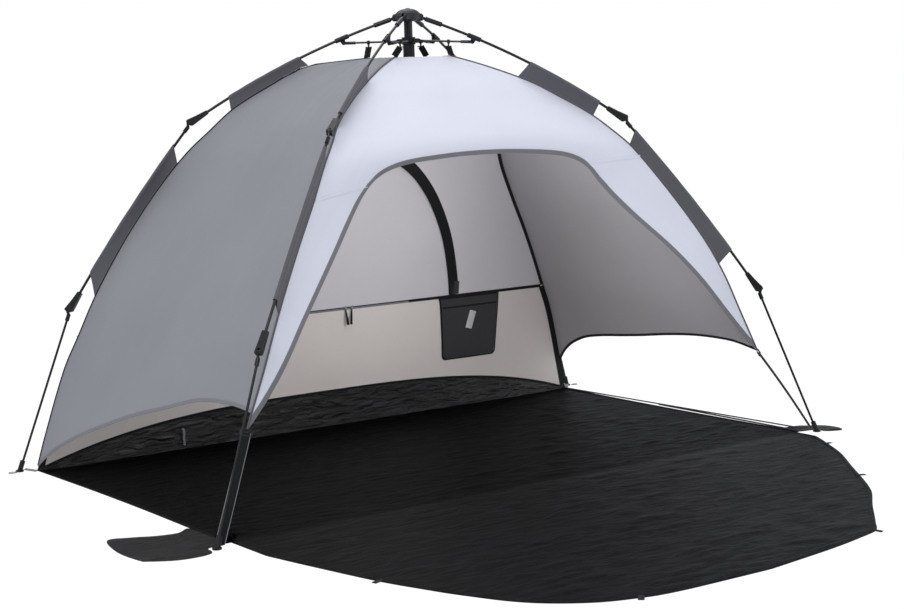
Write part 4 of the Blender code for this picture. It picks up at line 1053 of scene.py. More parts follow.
@dataclass
class Leg:
    """The pin places, pole curves and hinge axes of one leg, as the frame has them."""

    side: Side
    end: End
    pin_offset: float = 0.010
    elbow_lean: float = 0.030
    arm_bow: float = 0.024
    middle_bow: float = 0.010
    hub_reach: float = 0.032
    runner_reach: float = 0.030
    runner_drop: float = 0.070
    strut_offset: float = 0.0145
    bracket_reach: float = 0.174
    bracket_half: float = 0.021
    bracket_drop: float = 0.014
    crown_reach: float = 0.125
    crown_height: float = CROWN_HEIGHT
    ring_radius: float = 0.027
    ring_height: float = 1.172

    def __post_init__(self) -> None:
        """Works out the pins and the axes."""
        self.name = f"{self.end.value}_{self.side.value}"
        self.sign = -1 if self.side is Side.LEFT else 1
        self.reach = -FRONT_REACH if self.end is End.FRONT else BACK_REACH
        self.foot = self.at((1, 1, 0))
        self.elbow, self.knee = (self.at(shares) for shares in PINS[self.end])
        self.out = Vector((self.elbow.x, self.elbow.y, 0.0)).normalized()
        self.hub_axis = self.out.cross(UP)
        self.hub_pin = self.out * self.hub_reach + UP * HUB_HEIGHT
        self.beside = self.hub_axis if self.hub_axis.y * self.reach > 0 else -self.hub_axis
        self.elbow_axis = (self.elbow - self.hub_pin).cross(self.knee - self.elbow).normalized()
        self.knee_axis = (self.knee - self.elbow).cross(self.foot - self.knee).normalized()
        self.arm_out = self.outer(self.elbow - self.hub_pin, self.elbow_axis)
        self.mid_out = self.outer(self.knee - self.elbow, self.elbow_axis)
        self.mid_end_out = self.outer(self.knee - self.elbow, self.knee_axis)
        self.low_out = self.outer(self.foot - self.knee, self.knee_axis)
        if self.end is End.FRONT:
            middle = (self.knee - self.elbow).normalized()
            self.elbow_axis += middle * (self.elbow_lean * self.sign)
            self.elbow_axis.normalize()

    def at(self, shares: Sequence[float]) -> Vector:
        """Returns a point from shares of the foot's place and the hub's height."""
        wide, deep, high = shares
        return Vector((self.sign * FOOT_HALF_WIDTH * wide, self.reach * deep, HUB_HEIGHT * high))

    def outer(self, along: Vector, axis: Vector) -> Vector:
        """Returns the normal to a pole, in its hinge's plane, that points away from the tent."""
        found = axis.cross(along).normalized()
        return found if found.dot(self.out + UP) > 0 else -found

    def arm_point(self, t: float) -> Vector:
        """Returns a point of the arm's axis."""
        start, end = self.hub_pin, self.elbow - self.arm_out * self.pin_offset
        return start.lerp(end, t) + self.arm_out * (4 * self.arm_bow * t * (1 - t))

    def mid_point(self, t: float) -> Vector:
        """Returns a point of the middle pole's axis."""
        start = self.elbow - self.mid_out * self.pin_offset
        end = self.knee - self.mid_end_out * self.pin_offset
        return start.lerp(end, t) + self.mid_out * (4 * self.middle_bow * t * (1 - t))

    def low_point(self, t: float) -> Vector:
        """Returns a point of the lower pole's axis."""
        return (self.knee - self.low_out * self.pin_offset).lerp(self.foot, t)

    def runner_pin(self) -> Vector:
        """Returns the strut's pin on the runner."""
        place = self.out * self.runner_reach + self.beside * self.strut_offset
        return place + UP * (HUB_HEIGHT - self.runner_drop)

    def bracket_axes(self) -> tuple[Vector, Vector, Vector]:
        """Returns the bracket's centre, the way along the arm and the way up from it."""
        length = (self.elbow - self.hub_pin).length
        t, step = self.bracket_reach / length, self.bracket_half / length
        along = (self.arm_point(t + step) - self.arm_point(t - step)).normalized()
        across = self.hub_axis.cross(along).normalized()
        return self.arm_point(t), along, across if across.z > 0 else -across

    def strut_eye(self) -> Vector:
        """Returns the strut's outer eye."""
        centre, _, across = self.bracket_axes()
        return centre - across * self.bracket_drop + self.beside * self.strut_offset

    def crown_corner(self) -> Vector:
        """Returns the canopy's corner under the leg's clip."""
        return self.out * self.crown_reach + UP * self.crown_height

    def crown_point(self, share: float) -> Vector:
        """Returns a point of the roof between the ring round the post and the crown corner."""
        start = self.out * self.ring_radius + UP * self.ring_height
        return start.lerp(self.crown_corner(), share)

    def seam_point(self, height: float) -> Vector:
        """Returns the point at a height on the leg's canopy seam."""
        corner = self.crown_corner()
        table = FRONT_SEAM if self.end is End.FRONT else BACK_SEAM
        first = (self.crown_height / HUB_HEIGHT, abs(corner.x) / FOOT_HALF_WIDTH,
                 abs(corner.y / self.reach))
        share = height / HUB_HEIGHT
        wide, far = between((first, *table), share)
        return self.at((wide, far, share))

    def row_point(self, row: float, bottom: float) -> Vector:
        """Returns the leg's end of a panel's row, down to the bottom's height."""
        if row < CROWN_ROWS:
            return self.crown_point(row / CROWN_ROWS)
        return self.seam_point(row_height(row, bottom))


def row_depth(row: float) -> float:
    """Returns how far down a panel a row lies: 0 over the crown, 1 at the hem."""
    return max(0.0, (row - CROWN_ROWS) / PANEL_ROWS)


def row_height(row: float, bottom: float) -> float:
    """Returns a row's height."""
    return CROWN_HEIGHT - (CROWN_HEIGHT - bottom) * row_depth(row) ** ROW_POWER


def row_share(height: float, bottom: float) -> float:
    """Returns how far down a panel's rows a height lies, from 0 to 1."""
    depth = ((CROWN_HEIGHT - height) / (CROWN_HEIGHT - bottom)) ** (1 / ROW_POWER)
    return (CROWN_ROWS + PANEL_ROWS * min(depth, 1.0)) / (CROWN_ROWS + PANEL_ROWS)


def inland(u: float, v: float, hem: float = 6.0) -> float:
    """Returns a weight for a panel's folds, which fades out towards its edges."""
    return min(1.0, 6 * min(u, 1 - u)) * smooth_step(v * 6) * smooth_step((1 - v) * hem)


def across(a: Vector, b: Vector, u: float, sag: Vector | None = None) -> Vector:
    """Returns a point between two seam points, a little in from each and sagging inwards.

    Args:
        a: The first seam point.
        b: The second seam point.
        u: How far it is from the first to the second.
        sag: The sag in the middle.

    Returns:
        The point.
    """
    inset = 0.0021 / max((b - a).length, 0.0084)
    found = a.lerp(b, inset + (1 - 2 * inset) * u)
    return found - (sag or Vector()) * (4 * u * (1 - u))


Legs = dict[str, Leg]


def crown_line(first: Leg, second: Leg, row: float, u: float) -> Vector:
    """Returns a point of a roof row, rounded towards the ring round the post.

    Args:
        first: The leg at its start.
        second: The leg at its end.
        row: The row, less than CROWN_ROWS.
        u: How far along the row the point is.

    Returns:
        The point.
    """
    found = across(first.row_point(row, 0.0), second.row_point(row, 0.0), u)
    flat = Vector((found.x, found.y, 0.0))
    share = row / CROWN_ROWS
    radius = first.ring_radius + (first.crown_reach - first.ring_radius) * share
    return (flat.normalized() * radius + UP * found.z).lerp(found, share)


@dataclass
class Canopy:
    """The four canopy panels, the lower back wall and everything sewn to them."""

    legs: Legs
    finishes: Finishes
    columns: int = 72
    rows: int = 72
    seam_height: float = 0.390
    side_sag: float = 0.012
    back_sag: float = 0.008
    sill_height: float = 0.118
    binding_width: float = 0.013
    rear_arch_half: float = 0.51
    rear_arch_foot: float = 0.30
    rear_arch_rise: float = 0.62
    pocket_left: float = 0.421
    pocket_right: float = 0.676
    pocket_lean: float = 0.029
    wall_half: float = 1.004
    zip_half: float = 0.862
    zip_middle: float = 0.30
    coil: Sequence[float] = (0.0026, 0.0013, 0.0013)
    lower_rows: int = 16
    pocket_rows: int = 24
    pocket_columns: int = 48
    softening: Sequence[float] = (-0.045, -0.030, -0.015, 0.0, 0.015, 0.030, 0.045)
    body: str = "root"
    fold: str = "fold_front_left"

    def __post_init__(self) -> None:
        """Makes the stitch trees."""
        self.grey_sewing = StitchRow(self.finishes.thread)
        self.white_sewing = StitchRow(self.finishes.white_thread)
        self.black_sewing = StitchRow(self.finishes.black_tape)

    def row_numbers(self) -> list[float]:
        """Returns the panel rows, closer together over the crown."""
        return [(CROWN_ROWS + PANEL_ROWS) * i / self.rows for i in range(self.rows + 1)]

    def arch_height(self, u: float) -> float:
        """Returns the height of the door's arch at a share across, its corners eased."""
        reach = min(0.020, 1 - abs(u))
        near = [between(ARCH_COLUMNS, abs(u) + reach * k / 4)[0] for k in range(-4, 5)]
        return sum(near) / len(near) * HUB_HEIGHT

    def column_shares(self) -> list[float]:
        """Returns the share of the columns passed at each step from the middle to a rib."""
        total, found = 0.0, [0.0]
        for k in range(1000):
            u = (k + 0.5) / 1000
            near = math.exp(-(((u - 0.690) / 0.060) ** 2))
            total += (1 + 2.5 * near) / math.sqrt(1.0004 - u * u)
            found.append(total)
        return [share / total for share in found]

    def front_stops(self) -> list[float]:
        """Returns where half of the columns lie, closer together at the arch's shoulder."""
        shares = self.column_shares()
        found, k = [0.0], 0
        for i in range(1, self.columns):
            goal = i / self.columns
            while shares[k + 1] < goal:
                k += 1
            rest = (goal - shares[k]) / (shares[k + 1] - shares[k])
            found.append((k + rest) / (len(shares) - 1))
        return found + [1.0]

    def front_grid(self) -> Grid:
        """Returns the front panel's points, columns from left to right."""
        left, right = self.legs["front_left"], self.legs["front_right"]
        grid: Grid = [[] for _ in self.row_numbers()]
        spread = self.front_stops()
        stops = [-u for u in reversed(spread[1:])] + spread
        for u in stops:
            bottom = self.arch_height(u)
            for line, row in zip(grid, self.row_numbers()):
                if row < CROWN_ROWS:
                    line.append(crown_line(left, right, row, (u + 1) / 2))
                    continue
                share = row_height(row, bottom) / HUB_HEIGHT
                near = [between(ARCH_RECESS, share + shift)[0] for shift in self.softening]
                recess = sum(near) / len(near) * FRONT_REACH * (1 - u * u)
                a, b = left.row_point(row, bottom), right.row_point(row, bottom)
                line.append(across(a, b, (u + 1) / 2) + Vector((0.0, recess, 0.0)))
        return grid

    def side_grid(self, side: Side) -> Grid:
        """Returns a side panel's points, columns from front to back."""
        front = self.legs[f"front_{side.value}"]
        back = self.legs[f"back_{side.value}"]
        out = Vector((front.sign, 0.0, 0.0))
        grid: Grid = [[] for _ in self.row_numbers()]
        for j in range(self.columns + 1):
            u = j / self.columns
            hem = between(SIDE_HEM, u)[0] * HUB_HEIGHT
            hem += between(HEM_SHIFT_LEFT if side is Side.LEFT else HEM_SHIFT_RIGHT, u)[0]
            for line, row in zip(grid, self.row_numbers()):
                if row < CROWN_ROWS:
                    line.append(crown_line(front, back, row, u))
                    continue
                sag = out * (self.side_sag * math.sin(math.pi * row_depth(row)))
                line.append(across(front.row_point(row, hem), back.row_point(row, hem), u, sag))
        return grid

    def back_point(self, height: float, u: float, inset: float = 0.0) -> Vector:
        """Returns a point of the back wall, moved inwards by the inset.

        Args:
            height: Its height.
            u: How far across the wall it is, from the left.
            inset: How far it is moved inwards.

        Returns:
            The point.
        """
        left, right = self.legs["back_left"], self.legs["back_right"]
        sag = Vector((0.0, self.back_sag * math.sin(math.pi * height / CROWN_HEIGHT), 0.0))
        found = across(left.seam_point(height), right.seam_point(height), u, sag)
        return found - Vector((0.0, inset, 0.0))

    def wall_x(self, height: float, x: float) -> float:
        """Returns how far across the back wall a place in x is, at a height."""
        a, b = self.back_point(height, 0), self.back_point(height, 1)
        return (x - a.x) / (b.x - a.x)

    def back_grid(self) -> Grid:
        """Returns the upper back wall's points, columns from left to right."""
        left, right = self.legs["back_left"], self.legs["back_right"]
        rows = self.row_numbers()

        def point(i: int, j: int) -> Vector:
            """Returns a point of the roof's or of the wall's part."""
            if rows[i] < CROWN_ROWS:
                return crown_line(left, right, rows[i], j / self.columns)
            return self.back_point(row_height(rows[i], self.seam_height), j / self.columns)

        return grid_of(self.rows, self.columns, point)

    def sill_top(self, x: float) -> float:
        """Returns the height of the ground sheet's sill along the back."""
        return max(self.sill_height * (1 - abs(x / (FOOT_HALF_WIDTH * 0.975)) ** 3), 0.006)

    def lower_grid(self) -> Grid:
        """Returns the beige panel's points."""
        def point(i: int, j: int) -> Vector:
            """Returns a point between the zip and the sill, a hair from both."""
            u = j / self.columns
            low = self.sill_top(self.back_point(0.0, u).x) + 0.0003
            high = self.seam_height - 0.0003
            return self.back_point(high + (low - high) * i / self.lower_rows, u)

        return grid_of(self.lower_rows, self.columns, point)

    def dress(self) -> None:
        """Builds every panel, its bindings and its stitches."""
        f = self.finishes
        out = Vector((0.0, -1.0, 0.4))
        front = Cloth("front_panel_white", self.front_grid(), lambda p: out, 0.0005)

        def folds(u: float, v: float) -> float:
            """Returns the depth of the folds, which are deepest at the arch's shoulders."""
            shoulder = math.exp(-(((abs(u - 0.5) - 0.34) / 0.12) ** 2)) * smooth_step((v - 0.3) * 3)
            pull = ripple(u * 15, v * 3.2, 3.1) * 0.0022 + ripple(u * 34, v * 5, 9.7) * 0.0008
            drag = math.sin((u * 1.3 + v * 1.1) * 34) * 0.0004 * shoulder
            calm = math.exp(-(((abs(u - 0.5) - 0.245) / 0.08) ** 2)) * smooth_step((v - 0.4) * 4)
            weight = inland(u, v, 5.0) * (1 - 0.92 * calm)
            return weight * (pull * (0.30 + 0.40 * shoulder) + drag)

        front.wrinkle(folds)
        self.hang(front, f.white, f.lining, "canopy_front")
        width = self.binding_width
        self.loose(front.band("door_arch_binding", Edge.BOTTOM, width, f.binding, self.body))
        rows = [front.edge_path(Edge.BOTTOM, width - 0.0018, gap) for gap in (0.0009, -0.0009)]
        self.sew(self.grey_sewing, "door_arch_stitches", rows)
        self.dress_cross_seam(front)
        for side in Side:
            self.dress_side(side)
        self.dress_back()
        for leg in self.legs.values():
            self.dress_rib(leg)

    def dress_cross_seam(self, front: Cloth) -> None:
        """Builds the felled seams from the arch's shoulders to the ribs."""
        paths = []
        for sign, side in ((-1, "left"), (1, "right")):
            path, normals = [], []
            for k in range(25):
                share = k / 24
                u = 2 * sign * (0.342 + 0.152 * share)
                height = 0.855 + 0.007 * share if sign > 0 else 0.832 - 0.027 * share
                row = row_share(height, self.arch_height(u)) * self.rows
                point, normal = front.place_at(row, self.front_column(u))
                path.append(point + normal * 0.0003)
                normals.append(normal)
            self.loose(strip(f"shoulder_seam_{side}", path, UP, normals, 0.011, 0.0010,
                             self.finishes.white, self.body))
            paths += [[p + n * 0.0008 + UP * rise for p, n in zip(path, normals)]
                      for rise in (0.0018, 0.0092)]
        self.sew(self.white_sewing, "shoulder_seam_stitches", paths)

    def front_column(self, u: float) -> float:
        """Returns the front grid's column at a share from -1 to 1 across the panel."""
        shares = self.column_shares()
        place = min(abs(u), 1.0) * (len(shares) - 1)
        low = min(int(place), len(shares) - 2)
        turn = shares[low] + (shares[low + 1] - shares[low]) * (place - low)
        return self.columns * (1 + math.copysign(turn, u))

    def dress_rib(self, leg: Leg) -> None:
        """Builds the piping in the seam between two panels, from the ring to the hem."""
        low = 0.262 if leg.end is End.FRONT else 0.018
        path = [leg.crown_point(k / 8) for k in range(8)]
        path += [leg.seam_point(CROWN_HEIGHT - (CROWN_HEIGHT - low) * (k / 90)) for k in range(91)]
        path = [p + UP * 0.0003 for p in path]
        radius, finish = ((0.0027, self.finishes.sleeve) if leg.end is End.FRONT
                          else (0.0025, self.finishes.black_tape))
        shell = tube_mesh(path, leg.hub_axis, [ring(radius, 12)] * len(path))
        self.loose(piece(f"rib_piping_{leg.name}", *shell, (finish,), self.body))

    def hang(self, cloth: Cloth, outer: Finish, inner: Finish, node: str) -> None:
        """Args:
            cloth: The panel's cloth.
            outer: The finish outside.
            inner: The finish inside.
            node: The node that it replaces.
        """
        made = cloth.build(outer, inner, self.body)
        wide, long = cloth.flat_size()
        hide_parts(node)
        area = min(cloth.area(), wide * long)
        if area < 0.32 * wide * long:
            long = area / (0.33 * wide)
        self.loose(made)
        LOG.info("%s %.2f x %.2f m, %.2f m2", made.name, wide, long, area)

    def sew(
        self, thread: StitchRow, name: str, paths: Sequence[Sequence[Vector]], *sizes: float
    ) -> None:
        """Sews stitches along the paths and gives them their own copy of their mesh."""
        self.loose(thread.sew(name, paths, self.body, *sizes))

    def loose(self, made: Made) -> None:
        """Gives a piece its own copy of its mesh."""
        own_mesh(made)

    def dress_side(self, side: Side) -> None:
        """Builds one side panel with its black-bound hem."""
        f, end = self.finishes, side.value
        sign = -1 if side is Side.LEFT else 1
        out = Vector((sign, 0.0, 0.4))
        cloth = Cloth(f"side_panel_{end}", self.side_grid(side), lambda p: out)
        cloth.wrinkle(lambda u, v: inland(u, v) * (ripple(u * 9, v * 2.6, 5 + sign) * 0.0026
                                                   + ripple(u * 22, v * 6, 8 + sign) * 0.0007))
        self.hang(cloth, f.grey, f.lining, f"canopy_{end}")
        self.loose(cloth.band(f"side_hem_binding_{end}", Edge.BOTTOM, 0.010, f.hem_tape,
                              self.body, inside=-0.0003))
        self.loose(cloth.band(f"side_hem_lining_{end}", Edge.BOTTOM, 0.009, f.black_tape,
                              self.body, outside=-0.0006, inside=0.0006))
        rows = [cloth.edge_path(Edge.BOTTOM, d, 0.0009) for d in (0.0025, 0.0085)]
        self.sew(self.grey_sewing, f"side_hem_stitches_{end}", rows)
        rows = [cloth.edge_path(edge, 0.005, 0.0003) for edge in (Edge.LEFT, Edge.RIGHT)]
        self.sew(self.grey_sewing, f"side_seam_stitches_{end}", rows)

    def dress_back(self) -> None:
        """Builds the back wall: upper panel, beige panel, zip, arch binding and pocket."""
        f = self.finishes
        out = Vector((0.0, 1.0, 0.4))
        self.upper = Cloth("back_panel_upper", self.back_grid(), lambda p: out)
        self.upper.wrinkle(lambda u, v: inland(u, v) * ripple(u * 9, v * 3, 2.2) * 0.003)
        self.hang(self.upper, f.grey, f.back, "canopy_back")
        self.lower = Cloth("back_panel_beige", self.lower_grid(), lambda p: BACKWARD)
        self.lower.wrinkle(lambda u, v: smooth_step(v * 5) * smooth_step((1 - v) * 5)
                           * min(1.0, 8 * min(u, 1 - u)) * ripple(u * 14, v * 2, 6.2) * 0.0022)
        self.hang(self.lower, f.beige, f.beige, "back_wall_lower")
        for edge in (Edge.LEFT, Edge.RIGHT):
            for cloth, part, width in ((self.upper, "", 0.011), (self.lower, "low_", 0.020)):
                self.loose(cloth.band(f"back_rib_tape_{part}{edge.value}", edge, width,
                                      f.black_tape, self.body, outside=-0.0006))
        self.dress_zip()
        self.dress_rear_arch()
        self.dress_pocket()

    def on_upper(self, x: float, z: float, gap: float) -> Vector:
        """Returns a point inside the upper back wall, off its inner face by a gap."""
        row = row_share(z, self.seam_height) * self.rows
        point, normal = self.upper.place_at(row, self.wall_x(z, x) * self.columns)
        return point - normal * (self.upper.thickness + gap)

    def on_lower(self, x: float, z: float, gap: float) -> Vector:
        """Returns a point inside the lower back wall, off its inner face by a gap."""
        u = self.wall_x(z, x)
        low = self.sill_top(self.back_point(0.0, u).x)
        row = self.lower_rows * (self.seam_height - z) / (self.seam_height - low)
        point, normal = self.lower.place_at(row, u * self.columns)
        return point - normal * (self.lower.thickness + gap)

    def dress_zip(self) -> None:
        """Builds the zip along the back wall: tapes, coil and two sliders with pulls."""
        f = self.finishes
        z = self.seam_height
        for part, start, end, finish in (
            ("left", -self.zip_half, self.zip_middle, f.binding),
            ("right", self.zip_middle, self.zip_half, f.black_tape),
        ):
            xs = [start + (end - start) * k / 60 for k in range(61)]
            path = [self.back_point(z - 0.007, self.wall_x(z, x), 0.0016) for x in xs]
            self.loose(strip(f"back_zip_tape_{part}", path, UP, -BACKWARD, 0.015, 0.0014, finish,
                             self.body))
        outer = [self.back_point(z - 0.006, k / 60) + BACKWARD * 0.0012 for k in range(61)]
        self.loose(strip("back_seam_tape_outer", outer, UP, BACKWARD, 0.013, 0.0012, f.hem_tape,
                         self.body))
        rows = [[p + Vector((0, 0.0008, rise)) for p in outer] for rise in (0.002, 0.011)]
        self.sew(self.grey_sewing, "back_seam_stitches_outer", rows)
        coil = [self.back_point(z, k / 200, 0.0026) for k in range(2, 199)]
        self.sew(self.black_sewing, "back_zip_coil", [coil], *self.coil)
        for number, x in enumerate((0.050, 0.074)):
            top = self.back_point(z, self.wall_x(z, x), 0.0046)
            low = top - UP * 0.056 + Vector((0.006 - 0.012 * number, -0.003, 0.0))
            slide = [top + UP * 0.005, top - UP * 0.001, top - UP * 0.006]
            for part, path, widths, finish in (
                ("slider", slide, (0.0030, 0.0038, 0.0026), f.wire),
                ("pull", [slide[2], top.lerp(low, 0.5), low], (0.0016, 0.0030, 0.0040),
                 f.black_tape),
            ):
                shell = tube_mesh(path, RIGHTWARD, [box(w, 0.0012) for w in widths])
                self.loose(piece(f"back_zip_{part}_{number}", *shell, (finish,), self.body))

    def dress_rear_arch(self) -> None:
        """Builds the arch-shaped rear zip on the inside of the back wall."""
        for sign, side in ((-1, "left"), (1, "right")):
            paths: list[list[Vector]] = [[], [], []]
            inward = []
            for i in range(61):
                turn = math.radians(8.3 + 81.7 * i / 60)
                for path, shrink in zip(paths, (0.0, 0.015, 0.027)):
                    x = sign * (self.rear_arch_half - shrink) * math.cos(turn) ** 0.85
                    z = self.rear_arch_foot + (self.rear_arch_rise - shrink) * math.sin(turn)
                    path.append(self.on_upper(x, max(z, self.seam_height + 0.006), 0.0012))
                inward.append(Vector((-sign * math.cos(turn), 0.0, -math.sin(turn))))
            self.loose(strip(f"rear_arch_tape_{side}", paths[0], inward, -BACKWARD, 0.040, 0.0012,
                             self.finishes.black_tape, self.body))
            coil = [p - BACKWARD * 0.0014 for p in paths[1]]
            self.sew(self.black_sewing, f"rear_arch_coil_{side}", [coil], *self.coil)
            rows = [[p - BACKWARD * 0.0008 for p in paths[2]]]
            self.sew(self.grey_sewing, f"rear_arch_stitches_{side}", rows)
            stop = [self.on_upper(sign * 0.494, 0.394 + 0.011 * k, 0.0026) for k in range(5)]
            self.loose(strip(f"rear_arch_stop_{side}", [p - RIGHTWARD * 0.011 for p in stop],
                             RIGHTWARD, -BACKWARD, 0.022, 0.0014, self.finishes.mesh, self.body))

    def pocket_point(self, i: int, j: int) -> Vector:
        """Returns a point of the mesh pocket: its corners are eased and its middle bulges."""
        down, u = i / self.pocket_rows, j / self.pocket_columns
        left = self.pocket_left + self.pocket_lean * down ** 0.6
        corner = max(0.0, 1 - min(u, 1 - u) * 0.25 / 0.015) ** 2
        low = self.seam_height * 0.425 + 0.012 * corner
        high = self.seam_height * 0.982
        belly = math.sin(math.pi * down)
        bulge = 0.0045 * math.sin(math.pi * u) ** 0.7 * belly
        fold = abs(0.0018 * ripple(u * 8, i * 0.2, 4.0) * belly)
        x = self.wall_half * (left + (self.pocket_right - left) * u)
        return self.on_lower(x, high + (low - high) * down, 0.0016 + bulge + fold)

    def dress_pocket(self) -> None:
        """Builds the mesh pocket with its bound edge, its top band and its tab."""
        f = self.finishes
        grid = grid_of(self.pocket_rows, self.pocket_columns, self.pocket_point)
        cloth = Cloth("wall_pocket_mesh", grid, lambda p: -BACKWARD, 0.0006)
        self.hang(cloth, f.mesh, f.mesh, "pocket")
        for edge, width in ((Edge.BOTTOM, 0.009), (Edge.RIGHT, 0.009), (Edge.LEFT, 0.006),
                            (Edge.TOP, 0.004)):
            self.loose(cloth.band(f"wall_pocket_binding_{edge.value}", edge, width, f.black_tape,
                                  self.body, inside=0.0002))
        rows = [cloth.edge_path(edge, 0.007, 0.0009) for edge in (Edge.BOTTOM, Edge.RIGHT)]
        self.sew(self.grey_sewing, "wall_pocket_stitches", rows)
        seam = [p - BACKWARD * 0.0008 for p in cloth.grid[4][2:47:2]]
        self.loose(strip("wall_pocket_top_seam", seam, UP, -BACKWARD, 0.005, 0.0010, f.black_tape,
                         self.body))
        path = [self.on_lower(0.541 + 0.0034 * k, 0.274 + 0.0118 * k, 0.0072 - 0.0004 * k)
                for k in range(6)]
        self.loose(strip("wall_pocket_tab", path, Vector((1.0, 0.0, -0.1)), -BACKWARD, 0.026,
                         0.0010, f.tag, self.body))


@dataclass
class Ground:
    """The ground sheet, its sill and sand flaps, and the door flap."""

    canopy: Canopy
    finishes: Finishes
    half: float = 1.004
    sill_line: float = 0.5985
    hinge_gap: float = 0.0008
    hinge_width: float = 0.985
    flap_reach: float = 1.050
    lift: float = 0.0014

    def outline_sheet(self, outline: Sequence[tuple[float, float]], lift: float) -> Shell:
        """Returns a thin flat sheet in an outline, closed, with its centre raised a little.

        Args:
            outline: Its corners on the ground.
            lift: How high its crinkles rise.

        Returns:
            Corners and faces.
        """
        middle = Vector((sum(p[0] for p in outline), sum(p[1] for p in outline), 0)) / len(outline)
        points: list[Vector] = []
        rings = 7
        for k in range(rings):
            for x, y in outline:
                flat = middle.lerp(Vector((x, y, 0.0)), 1 - k / rings)
                rise = self.lift + lift * abs(ripple(flat.x * 19, flat.y * 19, 4.4)) * (k > 0)
                points.append(flat + UP * rise)
        points.append(middle + UP * (self.lift + lift * 0.4))
        low = [Vector((p.x, p.y, max(p.z - 0.0009, 0.0002))) for p in points]
        count, total = len(outline), len(points)
        faces: list[tuple[int, ...]] = []
        for k in range(rings - 1):
            for n in range(count):
                m = (n + 1) % count
                a, b, c, d = k * count + n, k * count + m, (k + 1) * count + m, (k + 1) * count + n
                faces.append((a, b, c, d))
                faces.append((total + d, total + c, total + b, total + a))
        start = (rings - 1) * count
        for n in range(count):
            m = (n + 1) % count
            faces.append((start + n, start + m, total - 1))
            faces.append((2 * total - 1, total + start + m, total + start + n))
            faces.append((m, n, total + n, total + m))
        return points + low, faces

    def dress(self) -> None:
        """Builds the floor, the sill, the flaps and the door."""
        f = self.finishes
        back = self.canopy.back_point(0.0, 0.5).y
        rows, columns = 90, 150

        def point(i: int, j: int) -> Vector:
            """Returns a point of the floor, crinkled most at the back and by the left front foot."""
            u = 2 * j / columns - 1
            y = back + (-self.sill_line - back) * i / rows
            x = self.half * u * (1 - 0.010 * math.sin(math.pi * i / rows))
            rim = smooth_step((1 - abs(u)) * 14) * smooth_step(min(i, rows - i) / 5)
            crest = math.exp(-(((y - back) / 0.10) ** 2))
            gather = smooth_step(1 - math.hypot(x + self.half, (y + self.sill_line) * 0.6) / 0.30)
            rise = abs(ripple(x * 9, y * 26, 1.0)) ** 1.3 * 0.0055
            rise += abs(ripple(x * 31, y * 60, 2.0)) * 0.0016
            rise += gather * abs(ripple(x * 34 + y * 9, y * 30, 9.0)) * 0.0060
            rise += crest * abs(ripple(x * 13, y * 30, 7.0)) * 0.010
            return Vector((x, y, self.lift + rim * rise))

        grid = grid_of(rows, columns, point)
        cloth = Cloth("ground_sheet", grid, lambda p: UP, 0.0008)
        made = cloth.build(f.ground, f.ground, "root")
        self.hem(cloth, "ground_sheet", (Edge.LEFT, Edge.RIGHT), "root")
        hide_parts("floor")
        self.lay(made, cloth.flat_size(), cloth.area())
        self.dress_sill()
        self.dress_edge(back)
        for name, table in (("left", LEFT_FLAP), ("right", RIGHT_FLAP)):
            outline = [(x * self.half, y * FRONT_REACH) for x, y in table]
            points, faces = self.outline_sheet(self.rounded(outline), 0.006)
            flap = piece(f"sand_flap_{name}", points, faces, (f.sand,), "root")
            xs, ys = [p.x for p in points], [p.y for p in points]
            area = sum(p.area for p in flap.data.polygons) / 2
            self.lay(flap, (max(xs) - min(xs), max(ys) - min(ys)), area)
        self.dress_door()

    def lay(self, made: Made, flat: tuple[float, float], area: float) -> None:
        """Logs the flat size and area of a sheet that lies on the floor.

        Args:
            made: The sheet's object.
            flat: Its flat size.
            area: Its area.
        """
        LOG.info("%s %.2f x %.2f m, %.2f m2", made.name, *flat, area)

    def dress_edge(self, back: float) -> None:
        """Lays the black tape and its fold along the sheet's right edge."""
        start = Vector((self.half * 0.999, back - 0.012, 0.0040))
        stop = Vector((self.half + 0.026, -self.sill_line - 0.006, 0.0085))
        near = Vector((self.half + 0.008, stop.y, 0.0052))
        path = [start.lerp(stop, k / 30) for k in range(31)]
        fold = [path[13].lerp(near, k / 17) - UP * 0.0018 for k in range(18)]
        for part, line, width, thickness in (("tape", path, 0.013, 0.0014),
                                             ("fold", fold, 0.015, 0.0012)):
            strip(f"ground_edge_{part}", line, -RIGHTWARD, UP, width, thickness,
                  self.finishes.webbing, "root")

    def hem(self, cloth: Cloth, name: str, edges: Sequence[Edge], body: str) -> None:
        """Folds and sews the edges of a sheet that lies on the ground.

        Args:
            cloth: The sheet.
            name: Its name.
            edges: The edges that are hemmed.
            body: The body it moves with.
        """
        rows = []
        for edge in edges:
            cloth.band(f"{name}_hem_{edge.value}", edge, 0.011, self.finishes.hem_sheet, body,
                       outside=0.0008, inside=-0.0004)
            rows.append(cloth.edge_path(edge, 0.008, 0.0011)[:-3])
        self.canopy.black_sewing.sew(f"{name}_hem_stitches", rows, body, radius=0.0006)

    def rim(self, grid: Grid) -> None:
        """Folds and sews the hem round the door's curved edge."""
        line = [row[0] for row in grid] + list(grid[-1]) + [row[-1] for row in reversed(grid)]
        path = [line[0].copy()]
        for p in line:
            if (p - path[-1]).length > 0.007:
                path.append(p.copy())
        last = len(path) - 1
        inward = [UP.cross(path[min(k + 2, last)] - path[max(k - 2, 0)]).normalized()
                  for k in range(last + 1)]
        strip("door_hem", path, inward, UP, 0.011, 0.0026,
              self.finishes.hem_sheet, "door_flap_body", shift=-0.0002)
        row = [p + way * 0.008 + UP * 0.0013 for p, way in zip(path, inward)][4:-4]
        self.canopy.black_sewing.sew("door_hem_stitches", [row], "door_flap_body", radius=0.0006)

